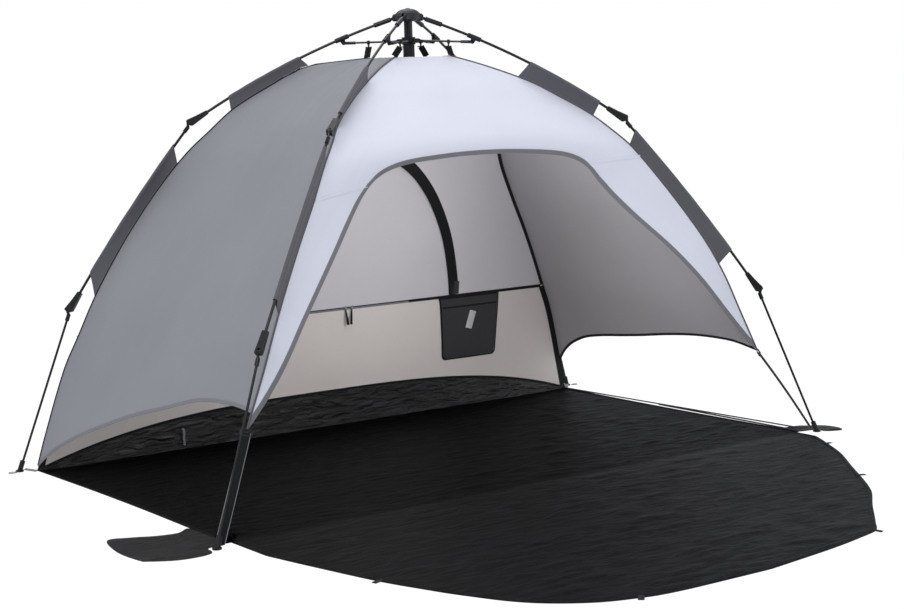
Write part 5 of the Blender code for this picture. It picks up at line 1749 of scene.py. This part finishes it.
    def tabs(self, grid: Grid) -> None:
        """Sews the door's five small webbing tabs under its hem."""
        rim = [line[0] for line in grid] + [line[-1] for line in grid] + list(grid[-1])
        middle = Vector((0.0, -0.95, 0.0))
        for number, (x, y) in enumerate(((-0.908, -1.133), (-0.566, -1.620), (0.250, -1.600),
                                         (0.705, -1.160), (0.946, -0.782))):
            start = min(rim, key=lambda p: (p.x - x) ** 2 + (p.y - y) ** 2).copy()
            way = Vector((start.x - middle.x, start.y - middle.y, 0.0)).normalized()
            side = way.cross(UP)
            path = [start + way * (-0.010 + 0.007 * k) for k in range(5)]
            for k, p in enumerate(path):
                p.z = 0.0030 - 0.0004 * k
            strip(f"door_tab_{number}", [p - side * 0.007 for p in path], side, UP, 0.014, 0.0016,
                  self.finishes.webbing, "door_flap_body")

    def rounded(self, outline: Sequence[tuple[float, float]]) -> list[tuple[float, float]]:
        """Returns an outline with each side cut into short lengths and its corners eased.

        Args:
            outline: The corners.

        Returns:
            Four points for each corner.
        """
        fine = []
        count = len(outline)
        for i in range(count):
            a, b = Vector(outline[i]), Vector(outline[(i + 1) % count])
            before, after = Vector(outline[i - 1]), Vector(outline[(i + 2) % count])
            for k in range(4):
                t = k / 4
                p = 0.5 * (2 * a + (b - before) * t + (2 * before - 5 * a + 4 * b - after) * t**2
                           + (3 * a - before - 3 * b + after) * t**3)
                fine.append((p.x, p.y))
        return fine

    def dress_sill(self) -> None:
        """Builds the crinkled sill that the ground sheet turns up along the back wall."""
        f = self.finishes
        rows, columns = 28, 320

        def point(i: int, j: int) -> Vector:
            """Returns a point of the sill, which sags in crinkles and rolls on to the floor."""
            v = i / rows
            foot = self.canopy.back_point(0.0, j / columns)
            top = self.canopy.sill_top(foot.x)
            height = top * (1 - v)
            place = self.canopy.back_point(height, j / columns)
            sag = ripple(foot.x * 11, v * 5.2, 3.0) * 0.010 * math.sin(math.pi * v)
            sag += ripple(foot.x * 38, v * 9.0, 6.0) * 0.0045 * math.sin(math.pi * v)
            roll = 0.016 * v * v * min(1.0, top / 0.05)
            return Vector((foot.x, place.y - 0.0012 - roll - abs(sag), height + 0.0016))

        grid = grid_of(rows, columns, point)
        cloth = Cloth("ground_sheet_sill", grid, lambda p: Vector((0, -1, 0.3)), 0.0008)
        made = cloth.build(f.sill, f.sill, "root")
        wide, long = cloth.flat_size()
        self.canopy.loose(made)
        self.canopy.loose(cloth.band("sill_edge_binding", Edge.TOP, 0.008, f.black_tape, "root"))
        column = columns * (0.5 - 0.52 / (2 * self.half * self.hinge_width))
        path = []
        for k in range(9):
            foot, normal = cloth.place_at(10.0 + 15.0 * k / 8, column)
            path.append(foot + normal * (0.0024 + 0.0040 * math.sin(math.pi * k / 8)))
        self.canopy.loose(strip("sill_loop", [p - RIGHTWARD * 0.004 for p in path], RIGHTWARD,
                                -BACKWARD, 0.008, 0.0012, f.binding, "root"))

    def dress_door(self) -> None:
        """Builds the door flap that lies on the ground."""
        f = self.finishes
        rows, columns = 90, 130

        def point(i: int, j: int) -> Vector:
            """Returns a point of the door between its two curved edges."""
            v = 0.9995 * math.sin(math.pi / 2 * i / rows) ** 1.05
            left = max(between(DOOR_LEFT, v)[0], -self.hinge_width) * self.half
            right = min(between(DOOR_RIGHT, v)[0], self.hinge_width) * self.half
            y = -self.sill_line - self.hinge_gap - v * self.flap_reach
            u = j / columns
            x = left + (right - left) * u
            rim = smooth_step(min(u, 1 - u) * 14) * smooth_step(min(i, rows - i) / 5)
            rise = abs(ripple(x * 7, y * 22, 11.0)) ** 1.3 * 0.006
            rise += abs(ripple(x * 27, y * 44, 12.0)) * 0.0016
            return Vector((x, y, self.lift + rim * rise))

        grid = grid_of(rows, columns, point)
        cloth = Cloth("door_flap_sheet", grid, lambda p: UP, 0.0008)
        made = cloth.build(f.door, f.door, "door_flap_body")
        self.rim(grid)
        self.tabs(grid)
        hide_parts("door_flap")
        self.lay(made, (cloth.flat_size()[0], self.flap_reach), cloth.area())
        path = [Vector((self.half * 0.985 * (k / 40 * 2 - 1), -self.sill_line - 0.012, 0.00032))
                for k in range(41)]
        strip("door_hinge_tape", path, BACKWARD, UP, 0.024, 0.0004, f.black_tape, "root")


@dataclass
class Frame:
    """The poles, knuckles, struts, clips, sleeves and straps of all four legs."""

    legs: Legs
    finishes: Finishes
    sewing: StitchRow
    cloth_thickness: float = 0.0005
    pole_radius: float = 0.004
    lower_radius: float = 0.0035
    socket_radius: float = 0.006
    arm_socket_radius: float = 0.007
    tongue_reach: float = 0.014
    fold: str = "fold_front_left"

    def dress(self) -> None:
        """Builds every leg."""
        for leg in self.legs.values():
            self.dress_poles(leg)
            self.dress_sleeves(leg)
            self.dress_strap(leg)
            self.dress_clip(leg)

    def pole(
        self, point: Callable[[float], Vector], length: float,
        bands: Sequence[tuple[float, float, float]], normal: Vector
    ) -> Shell:
        """Returns a smooth round pole with stepped sockets.

        Args:
            point: Its curve, from 0 to 1.
            length: Its length.
            bands: From, to and radius of each stretch.
            normal: Any direction across it.

        Returns:
            Corners and faces.
        """
        stops: list[tuple[float, float]] = []
        for start, end, radius in bands:
            count = max(2, round((end - start) / 0.018))
            ease = 0.0006
            stops.append((start, radius - ease))
            for i in range(count + 1):
                stops.append((start + ease + (end - start - 2 * ease) * i / count, radius))
            stops.append((end - ease / 4, radius - ease))
        return tube_mesh([point(s / length) for s, _ in stops], normal, [ring(r) for _, r in stops])

    def eye(
        self, pin: Vector, along: Vector, out: Vector, axis: Vector, half: float, radius: float,
        drop: float, reach: float, tall: float
    ) -> Shell:
        """Returns a flat eye with a softened rim, from its pin to its socket.

        Args:
            pin: Where its pin is.
            along: The way to the socket.
            out: The way out of the tent.
            axis: The pin's direction.
            half: Half its thickness.
            radius: Its radius round the pin.
            drop: How far the socket's middle lies below the pin.
            reach: How far it is from the pin to the socket.
            tall: The socket's radius.

        Returns:
            Corners and faces.
        """
        outline = []
        for k in range(13):
            turn = math.radians(60 + 240 * k / 12)
            outline.append((radius * math.cos(turn), radius * math.sin(turn)))
        outline += [(reach, -drop - tall * 0.9), (reach + 0.006, -drop - tall * 0.7),
                    (reach + 0.006, -drop + tall * 0.7), (reach, -drop + tall * 0.9)]
        points: list[Vector] = []
        for level, shrink in ((-half, 0.0006), (-half + 0.0006, 0.0), (half - 0.0006, 0.0),
                              (half, 0.0006)):
            for a, b in outline:
                flat = Vector((a, b + drop * 0.5))
                size = max(flat.length, 1e-6)
                keep = (size - shrink) / size
                points.append(pin + along * (a * keep) + out * ((b + drop * 0.5) * keep - drop * 0.5)
                              + axis * level)
        return points, loft_faces(len(outline), 4)

    def dress_poles(self, leg: Leg) -> None:
        """Replaces the faceted arm, middle and lower poles by smooth ones."""
        f = self.finishes
        arm_length = (leg.elbow - leg.hub_pin).length
        mid_length = (leg.knee - leg.elbow).length
        low_length = (leg.foot - leg.knee).length
        end = 0.0123
        parts = [self.pole(leg.arm_point, arm_length,
                           [(0.020, 0.072, self.arm_socket_radius),
                            (0.072, arm_length - end, self.pole_radius)], leg.arm_out)]
        along = leg.arm_point(0.03) - leg.arm_point(0)
        along = (along - leg.hub_axis * along.dot(leg.hub_axis)).normalized()
        out = leg.hub_axis.cross(along)
        out = out if out.z > 0 else -out
        parts.append(self.eye(leg.hub_pin, along, out, leg.hub_axis, 0.003, 0.005, 0.0, 0.020, 0.005))
        made = piece(f"arm_pole_{leg.name}", *merged(parts), (f.tube,), f"arm_body_{leg.name}")
        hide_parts(f"arm_{leg.name}")
        reach = self.tongue_reach
        for name, point, length, radius, pin, way, axis, body in (
            ("middle_pole", leg.mid_point, mid_length, self.pole_radius, leg.elbow, leg.mid_out,
             leg.elbow_axis, "middle_body"),
            ("lower_pole", leg.low_point, low_length, self.lower_radius, leg.knee, leg.low_out,
             leg.knee_axis, "lower_body"),
        ):
            stop = length - (end if name == "middle_pole" else 0.007)
            parts = [self.pole(point, length,
                               [(reach, reach + 0.020, self.socket_radius),
                                (reach + 0.020, stop, radius)], way)]
            first, across_way, _ = axes_along(point(0.04) - point(0), way)
            parts.append(self.eye(pin, first, across_way, axis, 0.0025, 0.005, leg.pin_offset,
                                  reach, self.socket_radius))
            made = piece(f"{name}_tube_{leg.name}", *merged(parts), (f.tube,), f"{body}_{leg.name}")
            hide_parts(f"{name}_{leg.name}")

    def dress_sleeves(self, leg: Leg) -> None:
        """Builds the cloth pockets that hold the canopy's seams on the poles."""
        front = leg.end is End.FRONT
        upper = (0.520, 0.868, 0.8577, 0.7640) if front else (0.452, 0.800, 0.8962, 0.8010)
        lower = (0.075, 0.775, 0.6962, 0.4115) if front else (0.130, 0.810, 0.6850, 0.3900)
        self.sleeve(f"upper_sleeve_{leg.name}", leg, leg.arm_point, upper, "arm_body")
        self.sleeve(f"lower_sleeve_{leg.name}", leg, leg.mid_point, lower, "middle_body")

    def sleeve(
        self, node: str, leg: Leg, point: Callable[[float], Vector],
        shares: tuple[float, float, float, float], body: str
    ) -> None:
        """Builds one pole pocket: a teardrop of cloth drawn to the canopy's seam.

        Args:
            node: The node that it replaces.
            leg: Its leg.
            point: The pole's curve.
            shares: Its start and end along the pole, and the heights of its seam there, as shares
                of the hub's height.
            body: The body it moves with, without the name of the leg.
        """
        start, end, high, low = shares
        count = 48
        centres, normals, outlines = [], [], []
        for i in range(count):
            t = i / (count - 1)
            centre = point(start + (end - start) * t)
            sewn = leg.seam_point((high + (low - high) * t) * HUB_HEIGHT)
            way = (point(start + (end - start) * t + 0.01) - centre).normalized()
            stretch = 1 / way.cross((sewn - centre).normalized()).length
            length = (sewn - centre).length - 0.0028
            puff = 1 + 0.10 * ripple(t * 9, leg.sign * 2.0, leg.reach * 7)
            sway = 0.0012 * ripple(t * 7, 3.0, leg.reach * 3 + leg.sign)
            waist = length * 0.5
            faces_of_cloth = []
            for skin in (0.0, self.cloth_thickness):
                high_side = [(length, 0.0008 - skin), (waist, sway + 0.0014 - skin),
                             (waist * 0.55, sway * 0.6 + 0.0032 - skin)]
                low_side = [(waist * 0.55, sway * 0.6 - 0.0032 + skin),
                            (waist, sway - 0.0014 + skin), (length, -0.0008 + skin)]
                radius = 0.0062 * puff - skin
                turns = [math.radians(56 + 248 * k / 16) for k in range(17)]
                bow = [(radius * math.cos(a) * stretch, radius * math.sin(a)) for a in turns]
                faces_of_cloth.append(high_side + bow + low_side)
            outline = faces_of_cloth[0] + faces_of_cloth[1][::-1]
            centres.append(centre)
            normals.append(sewn - centre)
            outlines.append(outline)
        points, faces = tube_mesh(centres, normals, outlines, skew=True)
        made = piece(f"pole_pocket_{node}", points, faces, (self.finishes.sleeve,),
                     f"{body}_{leg.name}")
        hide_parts(node)
        long = sum((b - a).length for a, b in zip(centres, centres[1:]))
        area = sum(polygon.area for polygon in made.data.polygons) / 2
        LOG.info("%s %.2f x %.2f m", made.name, area / long, long)
        sides = len(outlines[0])
        rows = []
        for edge, next_in in ((0, 1), (22, 21)):
            row = []
            for i in range(2, count - 2):
                near, far = points[i * sides + edge], points[i * sides + next_in]
                middle = (points[i * sides] + points[i * sides + 22]) / 2
                row.append(near.lerp(far, 0.14) + (near - middle).normalized() * 0.0005)
            rows.append(row)
        sewn = self.sewing.sew(f"pole_pocket_stitches_{node}", rows, f"{body}_{leg.name}")
        if leg.end is End.FRONT and node.startswith("upper"):
            for slack in (made, sewn):
                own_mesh(slack)

    def dress_strap(self, leg: Leg) -> None:
        """Builds a corner strap: webbing with a ladder buckle in front, a short tie behind."""
        f = self.finishes
        if leg.end is End.FRONT:
            top = leg.seam_point(0.260)
            low = top.lerp(leg.foot, 0.90)
            low.z = 0.012
            run = (low - top).normalized()
            top = top + run * 0.0078
            turn = Vector((-leg.sign * 0.81, -0.586, 0.0))
            _, side, flat = axes_along(run, turn)
            path = [top.lerp(low, k / 24) for k in range(25)]
            path = [p - flat * (0.003 * math.sin(math.pi * k / 24)) for k, p in enumerate(path)]
            made = strip(f"front_strap_{leg.name}", [p - side * 0.0125 for p in path], side, flat,
                         0.025, 0.0016, f.webbing, "root")
            self.gather(made, leg)
            self.buckle(leg, top, run, side)
            edges = []
            for shift in (-0.0118, 0.0118):
                line = [p + side * shift + flat * 0.0008 for p in path]
                edges.append(tube_mesh(line, side, [ring(0.0007, 6)] * 25))
            self.gather(piece(f"strap_selvedge_{leg.name}", *merged(edges), (f.thread,), "root"), leg)
            if leg.sign < 0:
                self.bundle(leg)
        else:
            near = leg.seam_point(0.0)
            near += (leg.foot - near).normalized() * -0.0014
            start = near + UP * 0.0023
            reach = leg.foot + UP * 0.010
            stop = reach - (reach - start).normalized() * 0.016
            _, side, flat = axes_along(stop - start, (stop - start).cross(UP))
            path = [start.lerp(stop, k / 8) for k in range(9)]
            made = strip(f"back_strap_{leg.name}", [p - side * 0.010 for p in path], side, flat,
                         0.020, 0.0016, f.hem_tape, "root")
            self.peg_ring(leg)
        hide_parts(f"corner_strap_{leg.name}")

    def gather(self, made: Made, leg: Leg) -> None:
        """Gives a piece of a corner strap its own copy of its mesh."""
        tuple(leg.foot)
        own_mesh(made)

    def peg_ring(self, leg: Leg) -> None:
        """Lays the wire ring for a peg on the ground beyond a back foot."""
        middle = leg.foot + Vector((leg.sign * 0.026, -0.010, 0.0022))
        path = [middle + Vector((0.0115 * math.cos(a), 0.0085 * math.sin(a), 0.0))
                for a in (2 * math.pi * k / 32 for k in range(33))]
        shell = tube_mesh(path, UP, [ring(0.0014, 10)] * 33)
        piece(f"peg_ring_{leg.name}", *shell, (self.finishes.wire,), "root")

    def bundle(self, leg: Leg) -> None:
        """Builds the gathered end of the strap and sheet beside a front foot."""
        shape = bmesh.new()
        bmesh.ops.create_icosphere(shape, subdivisions=4, radius=1.0)
        middle = Vector((leg.foot.x - leg.sign * 0.054, leg.foot.y + 0.050, 0.014))
        for v in shape.verts:
            crumple = 1 + 0.34 * noise.noise(v.co * 2.3 + Vector((leg.sign, 0, 0)))
            crumple += 0.16 * noise.noise(v.co * 6.1)
            v.co = Vector((v.co.x * 0.028, v.co.y * 0.012, v.co.z * 0.012)) * crumple + middle
            v.co.z = max(v.co.z, 0.0012)
        points = [v.co.copy() for v in shape.verts]
        faces = [tuple(v.index for v in f.verts) for f in shape.faces]
        shape.free()
        piece(f"strap_gather_{leg.name}", points, faces, (self.finishes.door,), "root")

    def buckle(self, leg: Leg, top: Vector, run: Vector, side: Vector) -> None:
        """Builds a ladder buckle: two rails and three bars, moulded in one piece.

        Args:
            leg: Its leg.
            top: Its middle.
            run: The way along the strap.
            side: The way across the strap.
        """
        wide, tall, bar = 0.0155, 0.008, 0.0016
        parts = []
        for shift in (-wide, wide):
            a = top + side * shift
            parts.append(rod_mesh(a - run * tall, a + run * tall, 0.0021, 0.0008))
        for level in (-tall, 0.0, tall):
            a = top + run * level
            parts.append(rod_mesh(a - side * wide, a + side * wide, bar, 0.0006))
        made = piece(f"strap_buckle_{leg.name}", *merged(parts), (self.finishes.nylon,), "root")
        self.gather(made, leg)

    def dress_clip(self, leg: Leg) -> None:
        """Builds the snap clip on the strut, its ring and the webbing to the canopy."""
        f = self.finishes
        start, end = leg.runner_pin(), leg.strut_eye()
        share = (0.118 - leg.runner_reach) / (end - start).length
        centre = start.lerp(end, share)
        along, out, _ = axes_along(end - start, UP)
        body = f"strut_body_{leg.name}"
        away = (leg.end is End.BACK) == (leg.sign < 0)
        turn = math.radians(58) if away else 0.0
        cross = leg.beside * math.cos(turn) + along * math.sin(turn)
        turns = [math.radians(-240 + 300 * k / 20) for k in range(21)]
        spokes = [(leg.beside * math.cos(a) + out * math.sin(a)) * 0.0049 for a in turns]
        hook = tube_mesh([centre + p for p in spokes], spokes, [box(0.0013, 0.0042)] * 21)
        top = centre - out * 0.0146
        stem = rod_mesh(centre - out * 0.0045, top, 0.0026, 0.0006)
        bar = rod_mesh(top - cross * 0.011, top + cross * 0.011, 0.0016, 0.0006)
        made = piece(f"snap_clip_{leg.name}", *merged([hook, stem, bar]), (f.nylon,), body)
        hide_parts(f"hanging_clip_{leg.name}")
        corner = leg.crown_corner() + UP * 0.0030
        run, side, flat = axes_along(corner - top, cross)
        path = [top.lerp(corner, k / 10) for k in range(11)]
        tape = strip(f"clip_webbing_{leg.name}", [p - side * 0.010 for p in path], side, flat,
                     0.020, 0.0016, f.webbing, body)
        tuple(run)
        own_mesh(tape)


@dataclass
class Studio:
    """The camera, the lights and the plain pale surroundings."""

    focal_px: float = 1827.5428
    width: int = 904

    def build(self) -> None:
        """Sets the camera at the photograph's place and lights the tent softly."""
        scene = bpy.context.scene
        scene.view_settings.view_transform = "Standard"
        lens = bpy.data.cameras.new("camera")
        lens.sensor_width = 36.0
        lens.lens = self.focal_px / self.width * 36.0
        lens.shift_x, lens.shift_y = -0.0025, 0.0003
        lens.clip_end = 60.0
        camera = linked("camera", lens)
        right = Vector((0.80972107, -0.58602595, -0.03041988))
        up = Vector((0.09651276, 0.08186177, 0.99195965))
        back = Vector((-0.57882387, -0.80614653, 0.12284418))
        turn = Matrix((right, up, back)).transposed().to_4x4()
        camera.matrix_world = Matrix.Translation((-3.09042, -4.49438, 1.11606)) @ turn
        scene.camera = camera
        self.world(scene)
        self.lamp("key", (-3.4, -3.2, 4.2), (0.0, 0.0, 0.5), 3.2, 118.0)
        self.lamp("fill", (3.6, -3.4, 2.6), (0.2, 0.0, 0.4), 3.0, 34.0)
        self.lamp("top", (0.4, 1.6, 4.4), (0.0, 0.0, 0.8), 3.0, 52.0)
        self.inner_glow()
        self.floor()

    def inner_glow(self) -> None:
        """Stands in for the daylight that comes through the thin cloth from all sides."""
        for name, place, power, radius in (("glow_low", (0.13, -0.28, 0.44), 9.0, 0.22),
                                           ("glow_high", (0.05, -0.08, 0.80), 2.6, 0.18)):
            light = bpy.data.lights.new(name, "POINT")
            light.energy = power
            light.shadow_soft_size = radius
            made = linked(name, light)
            made.location = place
            made.visible_camera = made.visible_glossy = False

    def world(self, scene: bpy.types.Scene) -> None:
        """Lights the scene evenly and shows white behind it."""
        world = bpy.data.worlds.new("pale_room")
        world.use_nodes = True
        scene.world = world
        tree = world.node_tree
        even = tree.nodes["Background"]
        even.inputs["Color"].default_value = (0.93, 0.95, 1.0, 1.0)
        even.inputs["Strength"].default_value = 0.62
        white = add_node(tree, "ShaderNodeBackground", {"Color": (1.0, 1.0, 1.0, 1.0), "Strength": 1.0})
        path = add_node(tree, "ShaderNodeLightPath").outputs
        seen = add_node(tree, "ShaderNodeMath", {
            0: path["Is Camera Ray"], 1: path["Is Transmission Ray"]}, operation="MAXIMUM")
        mix = add_node(tree, "ShaderNodeMixShader", {
            "Fac": seen.outputs["Value"], 1: even.outputs["Background"],
            2: white.outputs["Background"]})
        tree.links.new(mix.outputs["Shader"], tree.nodes["World Output"].inputs["Surface"])

    def lamp(
        self, name: str, place: tuple[float, float, float], aim: tuple[float, float, float],
        size: float, power: float
    ) -> None:
        """Adds a soft square lamp.

        Args:
            name: The lamp's name.
            place: Where it hangs.
            aim: What it points at.
            size: Its side in metres.
            power: Its power in watts.
        """
        light = bpy.data.lights.new(name, "AREA")
        light.shape, light.size, light.energy = "SQUARE", size, power
        turn = (Vector(aim) - Vector(place)).to_track_quat("-Z", "Y").to_matrix().to_4x4()
        linked(name, light).matrix_world = Matrix.Translation(place) @ turn

    def floor(self) -> None:
        """Adds a pale floor that shows white to the camera and keeps a soft shadow."""
        mesh = bpy.data.meshes.new("studio_floor")
        mesh.from_pydata([(x, y, -0.0005) for x, y in box(14.0, 14.0)], [], [(0, 1, 2, 3)])
        t = Tree("matt_paper_white")
        t.shade(Base_Color=(0.86, 0.86, 0.86, 1.0), Roughness=0.95, Specular_IOR_Level=0.0)
        glow = t.add("Emission", {"Color": (1.0, 1.0, 1.0, 1.0), "Strength": 1.12})
        path = t.add("LightPath")
        seen = t.add("Math", {0: path.outputs["Is Camera Ray"], 1: 0.82}, operation="MULTIPLY")
        mix = t.add("MixShader", {"Fac": seen.outputs["Value"], 1: t.shader.outputs["BSDF"],
                                  2: glow.outputs["Emission"]})
        t.tree.links.new(mix.outputs["Shader"], t.tree.nodes["Material Output"].inputs["Surface"])
        mesh.materials.append(t.material)
        made = linked("studio_floor", mesh)


def dress_nodes(frame: dict, finishes: Finishes) -> None:
    """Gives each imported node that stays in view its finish."""
    for name, node in frame["nodes"].items():
        finish = finishes.nylon
        if name.startswith(("centre_post", "strut_front", "strut_back")):
            finish = finishes.tube
        if name == "hub_cap":
            finish = finishes.dome
        node.data.materials.clear()
        node.data.materials.append(finish)


def main() -> None:
    """Builds the tent, piece by piece."""
    logging.basicConfig(level=logging.INFO, format="%(name)s: %(message)s")
    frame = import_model()
    Studio().build()
    finishes = Finishes()
    dress_nodes(frame, finishes)
    legs = {}
    for end in End:
        for side in Side:
            leg = Leg(side, end)
            legs[leg.name] = leg
    canopy = Canopy(legs, finishes)
    canopy.dress()
    Ground(canopy, finishes).dress()
    Frame(legs, finishes, canopy.grey_sewing).dress()


if __name__ == "__main__":
    main()
